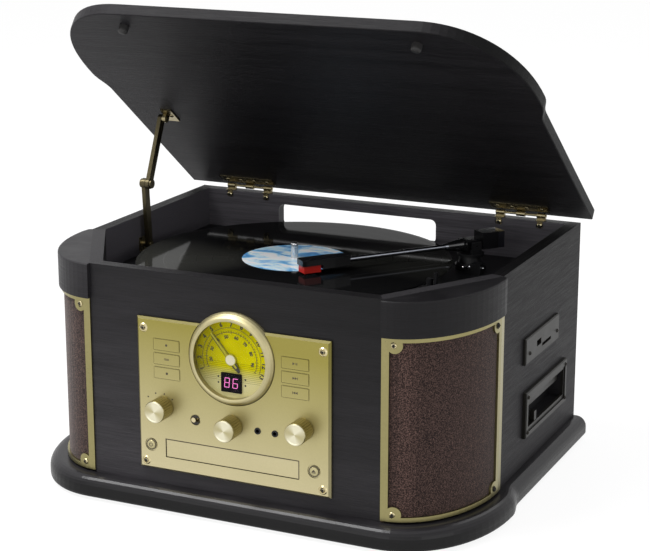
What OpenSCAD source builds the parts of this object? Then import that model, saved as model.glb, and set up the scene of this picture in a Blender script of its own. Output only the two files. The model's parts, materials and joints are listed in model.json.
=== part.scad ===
// Table-top music centre: record deck under a hinged lid, tuner, disc tray and cassette slot
// in a wooden cabinet with a curved speaker on each front corner.
// Lengths are in millimetres. x runs left to right, y from front to back, z up from the floor.

/* [Cabinet] */
// Width across the two side panels
box_w = 415; // [400:1:440]
// Depth from the front panel to the back panel
box_d = 334; // [330:1:370]
// Height of the cabinet walls above the plinth
box_h = 197; // [194:1:230]
// Width of the flat front panel
front_w = 283; // [270:1:290]
// How far back the cut-off front corners reach
corner_d = 112; // [104:1:118]
// Thickness of the cabinet boards
wall = 12; // [9:0.5:14]

/* [Plinth and feet] */
// Height of the plinth board
plinth_h = 19; // [14:1:30]
// How far the plinth stands out around the cabinet
plinth_over = 13; // [8:0.5:18]
// Radius of the plinth's round shoulder
plinth_round = 10; // [4:0.5:10]
// Radius of the plinth's lower edge
plinth_toe = 3; // [1:0.5:4]
// Diameter of a rubber foot
foot_d = 22; // [16:1:30]
// Height of a rubber foot
foot_h = 3; // [2:0.5:8]
// Distance of a foot's centre in from the side and back panels
foot_inset = 34; // [24:1:60]

/* [Speakers] */
// How far a speaker column stands in front of the front panel
ear_fwd = 4; // [3.6:0.1:8]
// How far a speaker column stands out from the side panel
ear_out = 5.5; // [4.5:0.5:10]
// Length of the turn-in at a column's back end
ear_turn = 11; // [8:0.5:12]
// Height of the wooden cap on top of a column
cap_h = 32; // [20:1:40]
// Radius of a cap's top edge
cap_round = 1.5; // [0.5:0.1:2]
// Gap between a grille frame and the plinth
frame_foot = 2; // [0.5:0.5:4]
// Step from the cap back to the grille frame
frame_step = 2.4; // [0.8:0.1:2.6]
// Thickness of a grille frame
frame_t = 2; // [1.5:0.1:2.2]
// Width of a grille frame's upright members
frame_side = 7; // [5:0.5:9]
// Width of the grille frame's bar at its outer end
frame_end = 5.5; // [4.5:0.5:8]
// Height of a grille frame's top and bottom members
frame_edge = 4; // [3:0.5:6]
// Radius of the round lobe around a grille screw
lobe_r = 7; // [5:0.5:8]
// Thickness of the grille cloth with its stiff backing
cloth_t = 2; // [1:0.1:3]
// Diameter of a speaker driver's flange
driver_d = 102; // [90:1:104]
// Height of the driver's centre above the plinth
driver_z = 85; // [70:1:100]
// Diameter of a driver's magnet
magnet_d = 60; // [50:1:70]
// Length of a driver's magnet
magnet_h = 20; // [14:1:26]

/* [Lid] */
// Thickness of the lid board
lid_t = 11; // [9:0.5:14]
// How far the lid stands out around the cabinet
lid_over = 12; // [8:0.5:16]
// Radius of the lid's edges
lid_round = 1; // [0.5:0.5:3]
// How much further the lid stands out around the speaker columns
lid_lobe = 0.8; // [0:0.2:3]
// How full the lid's and the plinth's corners are: 2 is an ellipse
lid_full = 2.25; // [2:0.05:2.8]
plinth_full = 2.1; // [2:0.05:2.6]
// Gap between the closed lid and the cabinet
lid_gap = 8; // [7.5:0.1:10]
// How far the lid reaches behind its hinge axis
lid_tail = 4.5; // [3:0.5:6]
// How far the hinge axis lies behind the wall leaves
hinge_back = 3; // [2:0.5:5]
// Length of a hinge leaf
hinge_w = 60; // [50:1:70]
// Distance of a hinge's middle from the cabinet's centre line
hinge_x = 149; // [120:1:155]
// Radius of a hinge knuckle
knuckle_r = 2.5; // [2.2:0.1:3]
// Width of a hinge knuckle
knuckle_w = 9; // [7:0.5:12]
// Radius of a hinge pin
hinge_pin_r = 1.25; // [1:0.05:1.4]
// Thickness of the hinge leaves
leaf_t = 1; // [0.8:0.1:1.2]
// Diameter of a lid bumper
bumper_d = 9; // [6:0.5:12]

/* [Lid stay] */
// Width of the stay's arms
stay_w = 8; // [7:0.5:9]
// Thickness of the stay's arms
stay_t = 4; // [2:0.1:4.4]
// Gap of the stay's outer arm from the left wall
stay_off = 5.5; // [5:0.1:6.5]
// Length of the lower arm between its pivots
stay_low_l = 62.25; // [61.5:0.05:63]
// How far the stay's middle joint stands off the straight line when the lid is open
stay_bend = 15.75; // [15:0.05:16.5]
// Distance of the stay's wall pivot in front of the hinge axis
stay_wall_back = 143.4; // [140:0.1:148]
// Height of the hinge axis above the stay's wall pivot
stay_wall_drop = 33.3; // [32:0.1:34]
// Distance of the stay's lid pivot in front of the hinge axis
stay_lid_back = 150.2; // [148:0.1:153]
// Distance of the stay's lid pivot below the lid
stay_lid_drop = 5; // [4.6:0.1:6]
// Radius of the stay's pivots
stay_pin_r = 2; // [1.5:0.1:2.2]

/* [Record deck] */
// Height of the deck board's top above the plinth
deck_z = 158; // [157:0.5:160]
// Thickness of the deck board
deck_t = 3; // [2:0.5:4]
// Diameter of the record
record_d = 301; // [298:1:302]
// Thickness of the record
record_t = 1.6; // [1.2:0.1:2]
// Diameter of the record's label
label_d = 100; // [90:1:101]
// Sideways place of the spindle
record_x = -26; // [-30:1:-22]
// Distance of the spindle behind the front panel
record_y = 179; // [176:0.5:180]
// Height of the record's underside above the deck board
record_lift = 13; // [12.5:0.5:14]
// Diameter of the platter
platter_d = 194; // [180:1:200]
// Thickness of the rubber mat
mat_t = 1.5; // [1:0.1:2]
// Radius of the spindle
spindle_r = 3.5; // [3:0.05:3.55]
// How far the spindle stands above the record
spindle_rise = 16; // [8:0.5:18]
// Radius of the platter's drive rim
drive_rim_r = 50; // [44:0.5:54]
// Radius of the motor pulley
pulley_r = 5.5; // [4:0.1:7]
// Distance from the spindle to the motor shaft
motor_c = 72; // [68:0.5:74]
// Diameter of the motor can
motor_d = 36; // [28:1:40]

/* [Tonearm] */
// Sideways place of the tonearm's pivot
arm_x = 119.6; // [118:0.1:122]
// Distance of the tonearm's pivot behind the front panel
arm_y = 266.5; // [264:0.5:269]
// Height of the arm's axis above the deck board
arm_rise = 24; // [23.5:0.5:26]
// Distance from the pivot to the stylus
arm_l = 177.5; // [175:0.5:180]
// Direction of the arm from its pivot, seen from above
arm_dir = 231.8; // [231:0.1:233]
// Radius of the arm tube
tube_r = 2.6; // [2:0.1:3]
// Diameter of the tonearm's round base
arm_base_d = 30; // [28:1:34]
// Radius of the bearing pin under the tonearm
turret_pin_r = 4; // [3:0.1:4.5]

/* [Control panel] */
// Width of the metal control panel
plate_w = 188.5; // [184:0.5:192]
// Height of the metal control panel
plate_h = 141; // [138:0.5:142]
// Thickness of the metal control panel
plate_t = 4; // [3:0.5:4.5]
// Width of the bevel around the control panel
plate_bevel = 2; // [1:0.5:2.5]
// Sideways place of the control panel's middle
plate_x = 2; // [-2:0.5:4]
// Height of the control panel's middle above the plinth
plate_z = 85; // [84:0.5:88]
// Diameter of the dial's metal bezel
bezel_d = 84; // [82:0.5:86]
// Width of the bezel's ring
bezel_ring = 7; // [5:0.5:8]
// How far the bezel stands in front of the front panel
bezel_rise = 9; // [8.5:0.5:10]
// Height of the dial's centre above the plinth
dial_z = 127.5; // [126:0.5:129]
// Width of the number display
display_w = 20; // [18:0.5:22]
// Height of the number display
display_h = 17.5; // [15:0.5:18]
// Length of the dial pointer
pointer_l = 29; // [22:0.5:31]
// Diameter of a control knob
knob_d = 20; // [18:0.5:22]
// Length of a control knob
knob_l = 17.2; // [12:0.1:20]
// Distance of the outer knobs' middle in from the panel's edge
knob_in = 25.75; // [22:0.25:28]
// Height of the outer knobs above the plinth
knob_z = 74.5; // [73:0.5:76]
// Height of the tuning knob above the plinth
tuning_z = 67; // [66:0.5:68]
// Width of a push button
button_w = 26; // [22:0.5:27]
// Height of a push button
button_h = 10.5; // [8:0.5:11]
// How far a push button stands out from the panel
button_rise = 0.4; // [0.2:0.1:1]
// How far the button columns lie inward of halfway between bezel and panel edge
button_in = 5.4; // [4:0.125:8]
// Height of the middle button row above the plinth
button_z = 119; // [118:0.5:121]
// Spacing of the button rows
button_pitch = 13; // [12.5:0.1:13.5]
// Travel of a push button
button_travel = 1; // [0.6:0.1:1.2]
// Distance of the power and tray buttons' middle in from the panel's edge
round_button_in = 13.9; // [11:0.1:15]
// Height of the power and tray buttons above the plinth
round_button_z = 37.5; // [36:0.5:39]
// Diameter of the power and tray buttons
round_button_d = 8; // [6:0.5:9]

/* [Disc tray] */
// Width of the tray's front
tray_w = 131; // [130:0.5:134]
// Height of the tray's front
tray_h = 16.5; // [15:0.5:18]
// Length of the tray
tray_l = 165; // [162:1:170]
// Height of the tray front's middle above the plinth
tray_z = 36; // [35:0.5:37]

/* [Right side] */
// Width of the port plate
port_w = 96; // [90:1:100]
// Height of the port plate
port_h = 25; // [22:0.5:27]
// Distance of the port plate's middle in front of the cabinet's back
port_back = 116; // [112:1:120]
// Height of the port plate's middle above the plinth
port_z = 111.5; // [110:0.5:114]
// Thickness of the port plate
port_t = 3; // [2:0.5:4]
// Width of the cassette frame
tape_w = 120; // [118:1:124]
// Height of the cassette frame
tape_h = 44; // [42:0.5:46]
// Distance of the cassette frame's middle in front of the cabinet's back
tape_back = 101; // [98:1:104]
// Height of the cassette frame's middle above the plinth
tape_z = 50; // [48:0.5:52]
// Thickness of the cassette frame
tape_t = 4; // [3:0.5:5]
// Width of the cassette opening
tape_open_w = 104; // [103:0.5:105]
// Height of the cassette opening
tape_open_h = 26; // [25:0.5:27]

// Depth of the cassette mechanism inside the side panel
tape_depth = 74; // [70:1:80]
// Height of the cassette mechanism above the frame's middle
tape_top = 26; // [20:1:32]

/* [Back] */
// Width of the slot that clears the record's edge
slot_w = 175; // [160:1:180]
// Height of that slot
slot_h = 24.5; // [22:0.5:25]
// Distance of the slot's top below the cabinet's top edge
slot_drop = 9.5; // [9:0.5:14]

/* [Fits] */
// Radial clearance of a pin or shaft in its hole
run_gap = 0.05; // [0.02:0.01:0.08]
// Gap around a button or slider in its hole
slide_gap = 0.25; // [0.15:0.05:0.35]
// Gap that parts in motion keep from their neighbours
air_gap = 0.3; // [0.25:0.05:0.4]

/* [Hidden] */
$fn = 48;

// colours
wood = "#333034";
gold = "#c3b57c";
brass = "#b0a055";
bronze = "#5d5a50";
black = "#1c1b1d";
steel = "#b9bcc0";

// middle of the overall depth, from the knobs to the open lid's back edge
origin_y = box_d / 2 - 9;
port_y = box_d - port_back;
tape_y = box_d - tape_back;
base_z = foot_h + plinth_h;

// speaker columns: a quarter ellipse from the front panel round to the side panel
ear_cx = front_w / 2;
ear_cy = corner_d - ear_turn;
ear_rx = box_w / 2 + ear_out - ear_cx;
ear_ry = ear_cy + ear_fwd;
corner_l = norm([box_w / 2 - front_w / 2, corner_d]);
corner_a = atan2(corner_d, box_w / 2 - front_w / 2);
corner_mid = [(box_w + front_w) / 4, corner_d / 2];
frame_z0 = frame_foot;
frame_z1 = box_h - cap_h;

// inner corners of the cabinet plan
corner_u = [cos(corner_a), sin(corner_a)];
corner_p = [front_w / 2 - wall * sin(corner_a), wall * cos(corner_a)];
inner_front = [corner_p.x + (wall - corner_p.y) / corner_u.y * corner_u.x, wall];
inner_side = [box_w / 2 - wall, corner_p.y + (box_w / 2 - wall - corner_p.x) / corner_u.x * corner_u.y];
inner_back = box_d - wall;

// lid hinge
lid_open = 37;
hinge_y = inner_back - leaf_t + knuckle_r + hinge_back;
hinge_z = box_h + lid_gap - air_gap - 0.5 - knuckle_r;
lid_z = box_h + lid_gap;
lid_back = hinge_y + lid_tail;

// lid stay: the plane of the arms and the pivots on wall and lid
stay_x = -(box_w / 2 - wall - stay_off);
stay_wall = [hinge_y - stay_wall_back, hinge_z - stay_wall_drop];
stay_lid = [hinge_y - stay_lid_back, lid_z - stay_lid_drop];
function turned(p, a) = [hinge_y + (p.x - hinge_y) * cos(a) + (p.y - hinge_z) * sin(a),
  hinge_z + (p.y - hinge_z) * cos(a) - (p.x - hinge_y) * sin(a)];
stay_lid_open = turned(stay_lid, lid_open);
stay_span = norm(stay_lid_open - stay_wall);
stay_dir = (stay_lid_open - stay_wall) / stay_span;
stay_knee = stay_wall + sqrt(pow(stay_low_l, 2) - pow(stay_bend, 2)) * stay_dir
  + stay_bend * [-stay_dir.y, stay_dir.x];

// record deck levels above the plinth
platter_z0 = deck_z + 2;
record_z0 = deck_z + record_lift;
record_z1 = record_z0 + record_t;
label_t = 0.2;
motor_a = 150;
motor_at = [record_x + motor_c * cos(motor_a), record_y + motor_c * sin(motor_a)];
arm_z = deck_z + arm_rise;

// dial layers, measured in front of the front panel
dial_back = 2;
dial_front = 3.5;
glass_back = 6.3;
glass_front = 7.5;
dial_r = bezel_d / 2 - bezel_ring - 0.1;
pointer_dir = 130;

// control board behind the panel
board_y = wall;
board_t = 1.6;
pot_back = board_y;

// ---------- helpers ----------

// moves the cabinet's own axes (front panel at y = 0, plinth top at z = 0) into the frame
module inbox() translate([0, -origin_y, base_z]) children();

module both() {
  children();
  mirror([1, 0, 0]) children();
}

// places children with their z axis pointing out of the front panel
module on_front(x, z, y = 0) translate([x, y, z]) rotate([90, 0, 0]) children();

// places children with their z axis pointing out of the right side panel
module on_side(y, z, x = box_w / 2) translate([x, y, z]) rotate([90, 0, 90]) children();

module block(x0, x1, y0, y1, z0, z1) translate([x0, y0, z0]) cube([x1 - x0, y1 - y0, z1 - z0]);

module tube(r_out, r_in, h) difference() {
  cylinder(r = r_out, h = h);
  translate([0, 0, -1]) cylinder(r = r_in, h = h + 2);
}

// rounded rectangle plate, centred, with true round corners
module slab(w, h, t, r) {
  translate([-w / 2 + r, -h / 2, 0]) cube([w - 2 * r, h, t]);
  translate([-w / 2, -h / 2 + r, 0]) cube([w, h - 2 * r, t]);
  for (sx = [-1, 1], sy = [-1, 1])
    translate([sx * (w / 2 - r), sy * (h / 2 - r), 0]) cylinder(r = r, h = t);
}

// flat plate with a bevelled front edge: the overlap of two prisms
module bevelled(w, h, t, b) intersection() {
  rotate([90, 0, 0]) linear_extrude(h, center = true)
    polygon([[-w / 2, 0], [w / 2, 0], [w / 2, t - b], [w / 2 - b, t], [-w / 2 + b, t], [-w / 2, t - b]]);
  rotate([90, 0, 90]) linear_extrude(w, center = true)
    polygon([[-h / 2, 0], [h / 2, 0], [h / 2, t - b], [h / 2 - b, t], [-h / 2 + b, t], [-h / 2, t - b]]);
}

// domed screw head with a cross slot
module screw_head(r, h) difference() {
  rotate_extrude() polygon(concat([[0, 0], [r, 0]], [for (i = [1:6]) [r * cos(15 * i), h * sin(15 * i)]]));
  for (a = [0, 90]) rotate(a) translate([-0.7 * r, -0.12 * r, 0.45 * h]) cube([1.4 * r, 0.24 * r, h]);
}

// round bar with a rounded end
module domed(r, h, e) rotate_extrude()
  polygon(concat([[0, 0], [r, 0]], [for (i = [0:6]) [r * cos(15 * i), h - e + e * sin(15 * i)]]));

// flat arm with round ends between two points of the y-z plane
module link(p, q, w, t) {
  v = q - p;
  translate([0, p.x, p.y]) rotate([90, 0, 90]) rotate(atan2(v.y, v.x)) {
    translate([0, -w / 2, 0]) cube([norm(v), w, t]);
    cylinder(d = w, h = t);
    translate([norm(v), 0, 0]) cylinder(d = w, h = t);
  }
}

// skin through rings of equal length, each listed anticlockwise from above, lowest first
module loft(rings) {
  n = len(rings[0]);
  top = (len(rings) - 1) * n;
  sides = [for (i = [0:len(rings) - 2], j = [0:n - 1])
    let(a = i * n + j, b = i * n + (j + 1) % n) each [[a, a + n, b + n], [a, b + n, b]]];
  polyhedron([for (r = rings) each r],
    concat([[for (j = [0:n - 1]) j]], sides, [[for (j = [n - 1:-1:0]) top + j]]), convexity = 6);
}

function lift(outline, z) = [for (p = outline) [p.x, p.y, z]];
function mirrored(outline) = [for (i = [len(outline) - 1:-1:0]) [-outline[i].x, outline[i].y]];

// speaker column's curve, grown outward by g, between two angles of the ellipse
function ear_at(a, g, full = 2) = [ear_cx + (ear_rx + g) * pow(cos(a), 2 / full),
  ear_cy - (ear_ry + g) * pow(-sin(a), 2 / full)];
function ear_arc(g, a0 = -90, a1 = 0, n = 20, full = 2) =
  [for (i = [0:n]) ear_at(a0 + (a1 - a0) * i / n, g, full)];

// plan of the right half of plinth and lid: column curve, then a soft S back to the straight side
s_len = 30;
function half_plan(g, back, lobe, full) = concat(ear_arc(g + lobe, full = full),
  [for (i = [1:6]) [box_w / 2 + g + (ear_out + lobe) * (1 + cos(30 * i)) / 2, ear_cy + s_len * i / 6]],
  [[box_w / 2 + g, back]]);
function plan(g, back, lobe, full) =
  concat(half_plan(g, back, lobe, full), mirrored(half_plan(g, back, lobe, full)));

// board with rounded upper and lower edges over that plan
module shaped_board(g, back, h, r_low, r_top, full, lobe = 0) loft(concat(
  [for (i = [0:3]) lift(plan(g - r_low * (1 - sin(30 * i)), back, lobe, full), r_low * (1 - cos(30 * i)))],
  [for (i = [0:6]) lift(plan(g - r_top * (1 - cos(15 * i)), back, lobe, full), h - r_top + r_top * sin(15 * i))]));

// plan of one speaker column, closed along the cut corner
function ear_plan(g) = concat(ear_arc(g), [[box_w / 2 + (ear_out + g) * 0.8, corner_d - 2.5],
  [box_w / 2, corner_d], [front_w / 2, 0]]);

// places children on the column's surface with their z axis pointing outward
module on_ear(a, z, g) {
  p = ear_at(a, g);
  translate([p.x, p.y, z]) rotate([0, 0, atan2(sin(a) / ear_ry, cos(a) / ear_rx)]) rotate([0, 90, 0]) children();
}

// places children on the right-hand speaker baffle with their z axis pointing outward
module on_corner(z) translate([corner_mid.x, corner_mid.y, z]) rotate([0, 0, corner_a - 90])
  rotate([0, 90, 0]) children();

grille_screw_a = [-90 + asin(11 / ear_rx), -asin(9 / ear_ry)];
grille_screw_z = [frame_z0 + frame_edge + 2.5, frame_z1 - frame_edge - 2.5];
plate_screw = [plate_w / 2 - 7, plate_h / 2 - 8.5];
plate_screw_drop = 1.2;
hinge_screw_x = [hinge_x - hinge_w / 2 + knuckle_w / 2 + 4.5, hinge_x + hinge_w / 2 - knuckle_w / 2 - 4.5];

// ---------- cabinet ----------

module rubber_feet() color("#222222") for (sx = [-1, 1], y = [foot_inset, box_d - foot_inset])
  translate([sx * (box_w / 2 - foot_inset - (y < box_d / 2 ? 30 : 0)), y - origin_y, 0])
    cylinder(r1 = foot_d / 2 - 1, r2 = foot_d / 2, h = foot_h);

module plinth() color(wood) translate([0, -origin_y, foot_h])
  shaped_board(plinth_over, box_d, plinth_h, plinth_toe, plinth_round, plinth_full);

module front_panel() color(wood) inbox() difference() {
  linear_extrude(box_h) polygon([[-front_w / 2, 0], [front_w / 2, 0], inner_front,
    [-inner_front.x, inner_front.y]]);
  block(plate_x - plate_w / 2 + 7, plate_x + plate_w / 2 - 7, -1, wall + 1,
    plate_z - plate_h / 2 + 6, plate_z + plate_h / 2 - 12);
  on_front(plate_x, dial_z, wall + 1) cylinder(r = dial_r + 2.5, h = wall + 2);
}

module side_board() linear_extrude(box_h) polygon([[box_w / 2, corner_d], [box_w / 2, box_d],
  [box_w / 2 - wall, box_d], inner_side]);

// deck cleats are glued along the side boards
module side_panels() color(wood) inbox() {
  mirror([1, 0, 0]) side_board();
  difference() {
    side_board();
    block(box_w / 2 - wall - 1, box_w / 2 + 1, port_y - port_w / 2 + 6, port_y + port_w / 2 - 6,
      port_z - port_h / 2 + 4, port_z + port_h / 2 - 4);
    block(box_w / 2 - wall - 1, box_w / 2 + 1, tape_y - tape_open_w / 2, tape_y + tape_open_w / 2,
      tape_z - tape_open_h / 2 - 2, tape_z + tape_open_h / 2 + 2);
    translate([flap_x, tape_y - flap_w / 2 - 5, flap_z]) rotate([-90, 0, 0])
      cylinder(r = 1 + run_gap, h = flap_w + 10);
  }
  both() block(box_w / 2 - wall - 12, box_w / 2 - wall, inner_side.y + 12, inner_back - 6,
    deck_z - deck_t - 12, deck_z - deck_t);
}

module back_panel() color(wood) inbox() difference() {
  block(-box_w / 2 + wall, box_w / 2 - wall, inner_back, box_d, 0, box_h);
  on_front(record_x, box_h - slot_drop - slot_h / 2, box_d + 1) slab(slot_w, slot_h, wall + 2, 6);
  for (i = [0:9]) on_front(-40 + 9 * i, 92, box_d + 1) slab(4, 40, wall + 2, 1.9);
  block(inlet_x - 15, inlet_x + 15, inner_back - 1, box_d + 1, 22, 40);
  block(line_x - 24, line_x + 24, inner_back - 1, box_d + 1, 20, 42);
}

module baffle() difference() {
  linear_extrude(box_h) polygon([[front_w / 2, 0], [box_w / 2, corner_d], inner_side, inner_front]);
  on_corner(driver_z) translate([0, 0, -wall - 1]) cylinder(r = driver_d / 2 - 7, h = wall + 2);
}

module speaker_baffles() color("#8a6a44") inbox() both() baffle();

module ear_caps() color(wood) inbox() both() loft(concat([lift(ear_plan(0), frame_z1)],
  [for (i = [0:3]) lift(ear_plan(-cap_round * (1 - cos(30 * i))), box_h - cap_round + cap_round * sin(30 * i))]));

module grille_frame() difference() {
  translate([0, 0, frame_z0]) linear_extrude(frame_z1 - frame_z0) difference() {
    polygon(ear_plan(-frame_step));
    polygon(concat(ear_arc(-frame_step - frame_t, -88, -1.2),
      [[box_w / 2 - 1, corner_d - 4], [box_w / 2 - 30, corner_d - 30], [front_w / 2 + 2, 6]]));
  }
  difference() {
    translate([0, 0, frame_z0 + frame_edge]) linear_extrude(frame_z1 - frame_z0 - 2 * frame_edge)
      polygon(concat(ear_arc(3, -90 + asin(frame_side / ear_rx), -asin(frame_end / ear_ry)),
        [for (i = [20:-1:0]) ear_at(-90 + asin(frame_side / ear_rx) + i / 20
          * (90 - asin(frame_side / ear_rx) - asin(frame_end / ear_ry)), -9)]));
    for (a = grille_screw_a, z = grille_screw_z) on_ear(a, z, -12) cylinder(r = lobe_r, h = 18);
  }
}

module grille_frames() color(brass) inbox() both() grille_frame();

module grille_cloths() color("#4a3734") inbox() both()
  translate([0, 0, frame_z0]) linear_extrude(frame_z1 - frame_z0) difference() {
    polygon(concat(ear_arc(-frame_step - frame_t - 0.1, -86.5, -2.2), [[ear_cx, ear_cy]]));
    polygon(concat(ear_arc(-frame_step - frame_t - 0.1 - cloth_t, -88.2, -0.2), [[ear_cx - 9, ear_cy + 9]]));
  }

// flange and basket, magnet, and cone with its surround, each turned about the driver's axis
module driver() {
  flange_r = driver_d / 2;
  rotate_extrude() polygon([[flange_r - 8, 0], [flange_r, 0], [flange_r, 2], [flange_r - 9, 2],
    [flange_r - 9, -2], [24, -24.5], [12, -24.5], [12, -26], [26, -26], [flange_r - 8, -3]]);
  translate([0, 0, -26 - magnet_h]) cylinder(d = magnet_d, h = magnet_h);
  rotate_extrude() polygon([[flange_r - 2, 2], [flange_r - 2, 3], [flange_r - 10, 3.4], [13.7, -12],
    [0, -10], [0, -12], [13, -13.2], [flange_r - 10.5, 2]]);
}

module speaker_drivers() color("#3a3a3c") inbox() both() on_corner(driver_z) driver();

// ---------- record deck ----------

module deck_plate() color(black) inbox() difference() {
  g = 0.2;
  translate([0, 0, deck_z - deck_t]) linear_extrude(deck_t)
    polygon([[-inner_front.x + g, wall + g], [inner_front.x - g, wall + g], [inner_side.x - g, inner_side.y + g],
      [inner_side.x - g, inner_back - g], [-inner_side.x + g, inner_back - g], [-inner_side.x + g, inner_side.y + g]]);
  translate([record_x, record_y, 0]) cylinder(r = bush_r, h = deck_z + 1);
  translate([motor_at.x, motor_at.y, 0]) cylinder(r = 4, h = deck_z + 1);
  translate([arm_x, arm_y, 0]) cylinder(r = arm_stub_r, h = deck_z + 1);
  block(speed_at.x - 2.5, speed_at.x + 2.5, speed_at.y - 9, speed_at.y + 9, deck_z - deck_t - 1, deck_z + 1);
}

bush_r = 7;
module spindle_bush() color(brass) inbox() translate([record_x, record_y, 0]) difference() {
  union() {
    translate([0, 0, deck_z - 20]) cylinder(r = bush_r, h = 20);
    translate([0, 0, deck_z]) cylinder(r = bush_r + 4, h = 1.5);
  }
  translate([0, 0, deck_z - 21]) cylinder(r = spindle_r + run_gap, h = 24);
}

motor_shaft_r = 1;
module motor() color(steel) inbox() translate([motor_at.x, motor_at.y, 0]) difference() {
  translate([0, 0, deck_z - deck_t - 26]) cylinder(d = motor_d, h = 26);
  translate([0, 0, deck_z - deck_t - 12]) cylinder(r = motor_shaft_r + run_gap, h = 13);
}

// area inside a belt that runs round two circles a distance c apart along x
module belt_area(r1, r2, c, h) {
  a = acos((r1 - r2) / c);
  cylinder(r = r1, h = h);
  translate([c, 0, 0]) cylinder(r = r2, h = h);
  linear_extrude(h) polygon([[r1 * cos(a), r1 * sin(a)], [r1 * cos(a), -r1 * sin(a)],
    [c + r2 * cos(a), -r2 * sin(a)], [c + r2 * cos(a), r2 * sin(a)]]);
}

belt_t = 1;
module drive_belt() color("#202020") inbox() translate([record_x, record_y, deck_z + 3.8]) rotate(motor_a)
  difference() {
    belt_area(drive_rim_r + air_gap + belt_t, pulley_r + air_gap + belt_t, motor_c, 3.2);
    translate([0, 0, -1]) belt_area(drive_rim_r + air_gap, pulley_r + air_gap, motor_c, 6);
  }

module platter() color("#2b2b2d") inbox() translate([record_x, record_y, 0]) {
  top = record_z0 - mat_t;
  r = platter_d / 2;
  rotate_extrude() polygon([[spindle_r, top - 9], [9, top - 9], [9, top - 3], [drive_rim_r - 4, top - 3],
    [drive_rim_r - 4, platter_z0], [drive_rim_r, platter_z0], [drive_rim_r, top - 3], [r - 5, top - 3],
    [r - 5, platter_z0], [r - 0.6, platter_z0], [r, platter_z0 + 1], [r, top - 1], [r - 1, top], [spindle_r, top]]);
  translate([0, 0, top]) tube(r - 4, spindle_r, mat_t);
}

module record() color("#0d0d0e") inbox() translate([record_x, record_y, 0]) rotate_extrude()
  polygon([[spindle_r, record_z0], [record_d / 2 - 0.8, record_z0], [record_d / 2, record_z0 + record_t / 2],
    [record_d / 2 - 0.8, record_z1], [spindle_r, record_z1]]);

module record_label() color("#7fb2d8") inbox() translate([record_x, record_y, record_z1])
  tube(label_d / 2, spindle_r, label_t);

module spindle() color(steel) inbox() translate([record_x, record_y, deck_z - 22])
  domed(spindle_r, record_z1 + spindle_rise - deck_z + 22, 2.5);

module motor_pulley() color(brass) inbox() translate([motor_at.x, motor_at.y, 0]) {
  translate([0, 0, deck_z - deck_t - 11]) cylinder(r = motor_shaft_r, h = deck_t + 11 + 3);
  translate([0, 0, deck_z + 2.6]) rotate_extrude() polygon([[0, 0], [pulley_r + 1, 0], [pulley_r + 1, 0.5],
    [pulley_r, 0.8], [pulley_r, 5.2], [0, 5.2]]);
}

// ---------- tonearm ----------

arm_stub_r = 12;
turret_z = deck_z + 13;
module armspace(z = arm_z) translate([arm_x, arm_y, z]) rotate(arm_dir) children();

// direction of the parked arm and place of its rest
park_dir = arm_dir + 41.7;
rest_l = 125.7;
rest_at = [arm_x + rest_l * cos(park_dir), arm_y + rest_l * sin(park_dir)];
cue_at = [arm_x + 13.4, arm_y - 18.5];
speed_at = [158, 165];

module tonearm_base() color(black) inbox() {
  translate([arm_x, arm_y, 0]) difference() {
    union() {
      translate([0, 0, deck_z - 12]) cylinder(r = arm_stub_r, h = 12);
      translate([0, 0, deck_z]) rotate_extrude() polygon([[0, 0], [arm_base_d / 2, 0], [arm_base_d / 2, 4.5],
        [arm_base_d / 2 - 1.5, 6], [arm_stub_r, 6], [arm_stub_r - 1.5, turret_z - deck_z], [0, turret_z - deck_z]]);
    }
    translate([0, 0, deck_z - 10]) cylinder(r = turret_pin_r + run_gap, h = 40);
  }
  // arm rest: a post whose shelf the parked tube hangs over, with a stop behind it
  translate([rest_at.x, rest_at.y, deck_z]) rotate(park_dir) {
    cylinder(r = 5.5, h = 3);
    cylinder(r = 3, h = arm_rise - tube_r - air_gap);
    translate([-3, tube_r + 2.2, 0]) cube([6, 2.4, arm_rise + 3]);
    translate([-3, 0, 0]) cube([6, tube_r + 2.3, 4]);
  }
  // lift post beside the base, with a bore for the cueing lever
  translate([cue_at.x, cue_at.y, deck_z]) difference() {
    translate([-5, -5, 0]) cube([10, 10, 10]);
    translate([-6, 0, 6]) rotate([0, 90, 0]) cylinder(r = 1.5 + run_gap, h = 12);
  }
}

module tonearm_turret() color("#151516") inbox() {
  translate([arm_x, arm_y, deck_z - 9]) cylinder(r = turret_pin_r, h = turret_z - deck_z + 10);
  armspace(turret_z + air_gap) {
    cylinder(r = 13, h = 2.5);
    for (s = [-1, 1]) translate([-5, s * 10.5 - 1.25, 0]) difference() {
      cube([10, 2.5, arm_z - turret_z + 3]);
      translate([5, -1, arm_z - turret_z - air_gap]) rotate([-90, 0, 0]) cylinder(r = 1.2 + run_gap, h = 5);
    }
  }
}

block_l = 24;
block_w = 17;
block_h = 16;
shell_l = 50;
// arm tube, its tapering collar, the hub with its pivot pins and the square balance block behind
module tonearm() color("#1a1a1c") inbox() armspace() {
  translate([14, 0, 0]) rotate([0, 90, 0]) cylinder(r = tube_r, h = arm_l - shell_l + 9 - 14);
  translate([8, 0, 0]) rotate([0, 90, 0]) cylinder(r1 = 6.5, r2 = tube_r + 0.8, h = 22);
  translate([-9, -6, -4.5]) cube([20, 12, 10]);
  translate([-8.5 - block_l, -block_w / 2, 3 - block_h / 2]) cube([block_l, block_w, block_h]);
  for (s = [-1, 1]) rotate([-90 * s, 0, 0]) cylinder(r = 1.2, h = 11.5);
}

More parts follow.
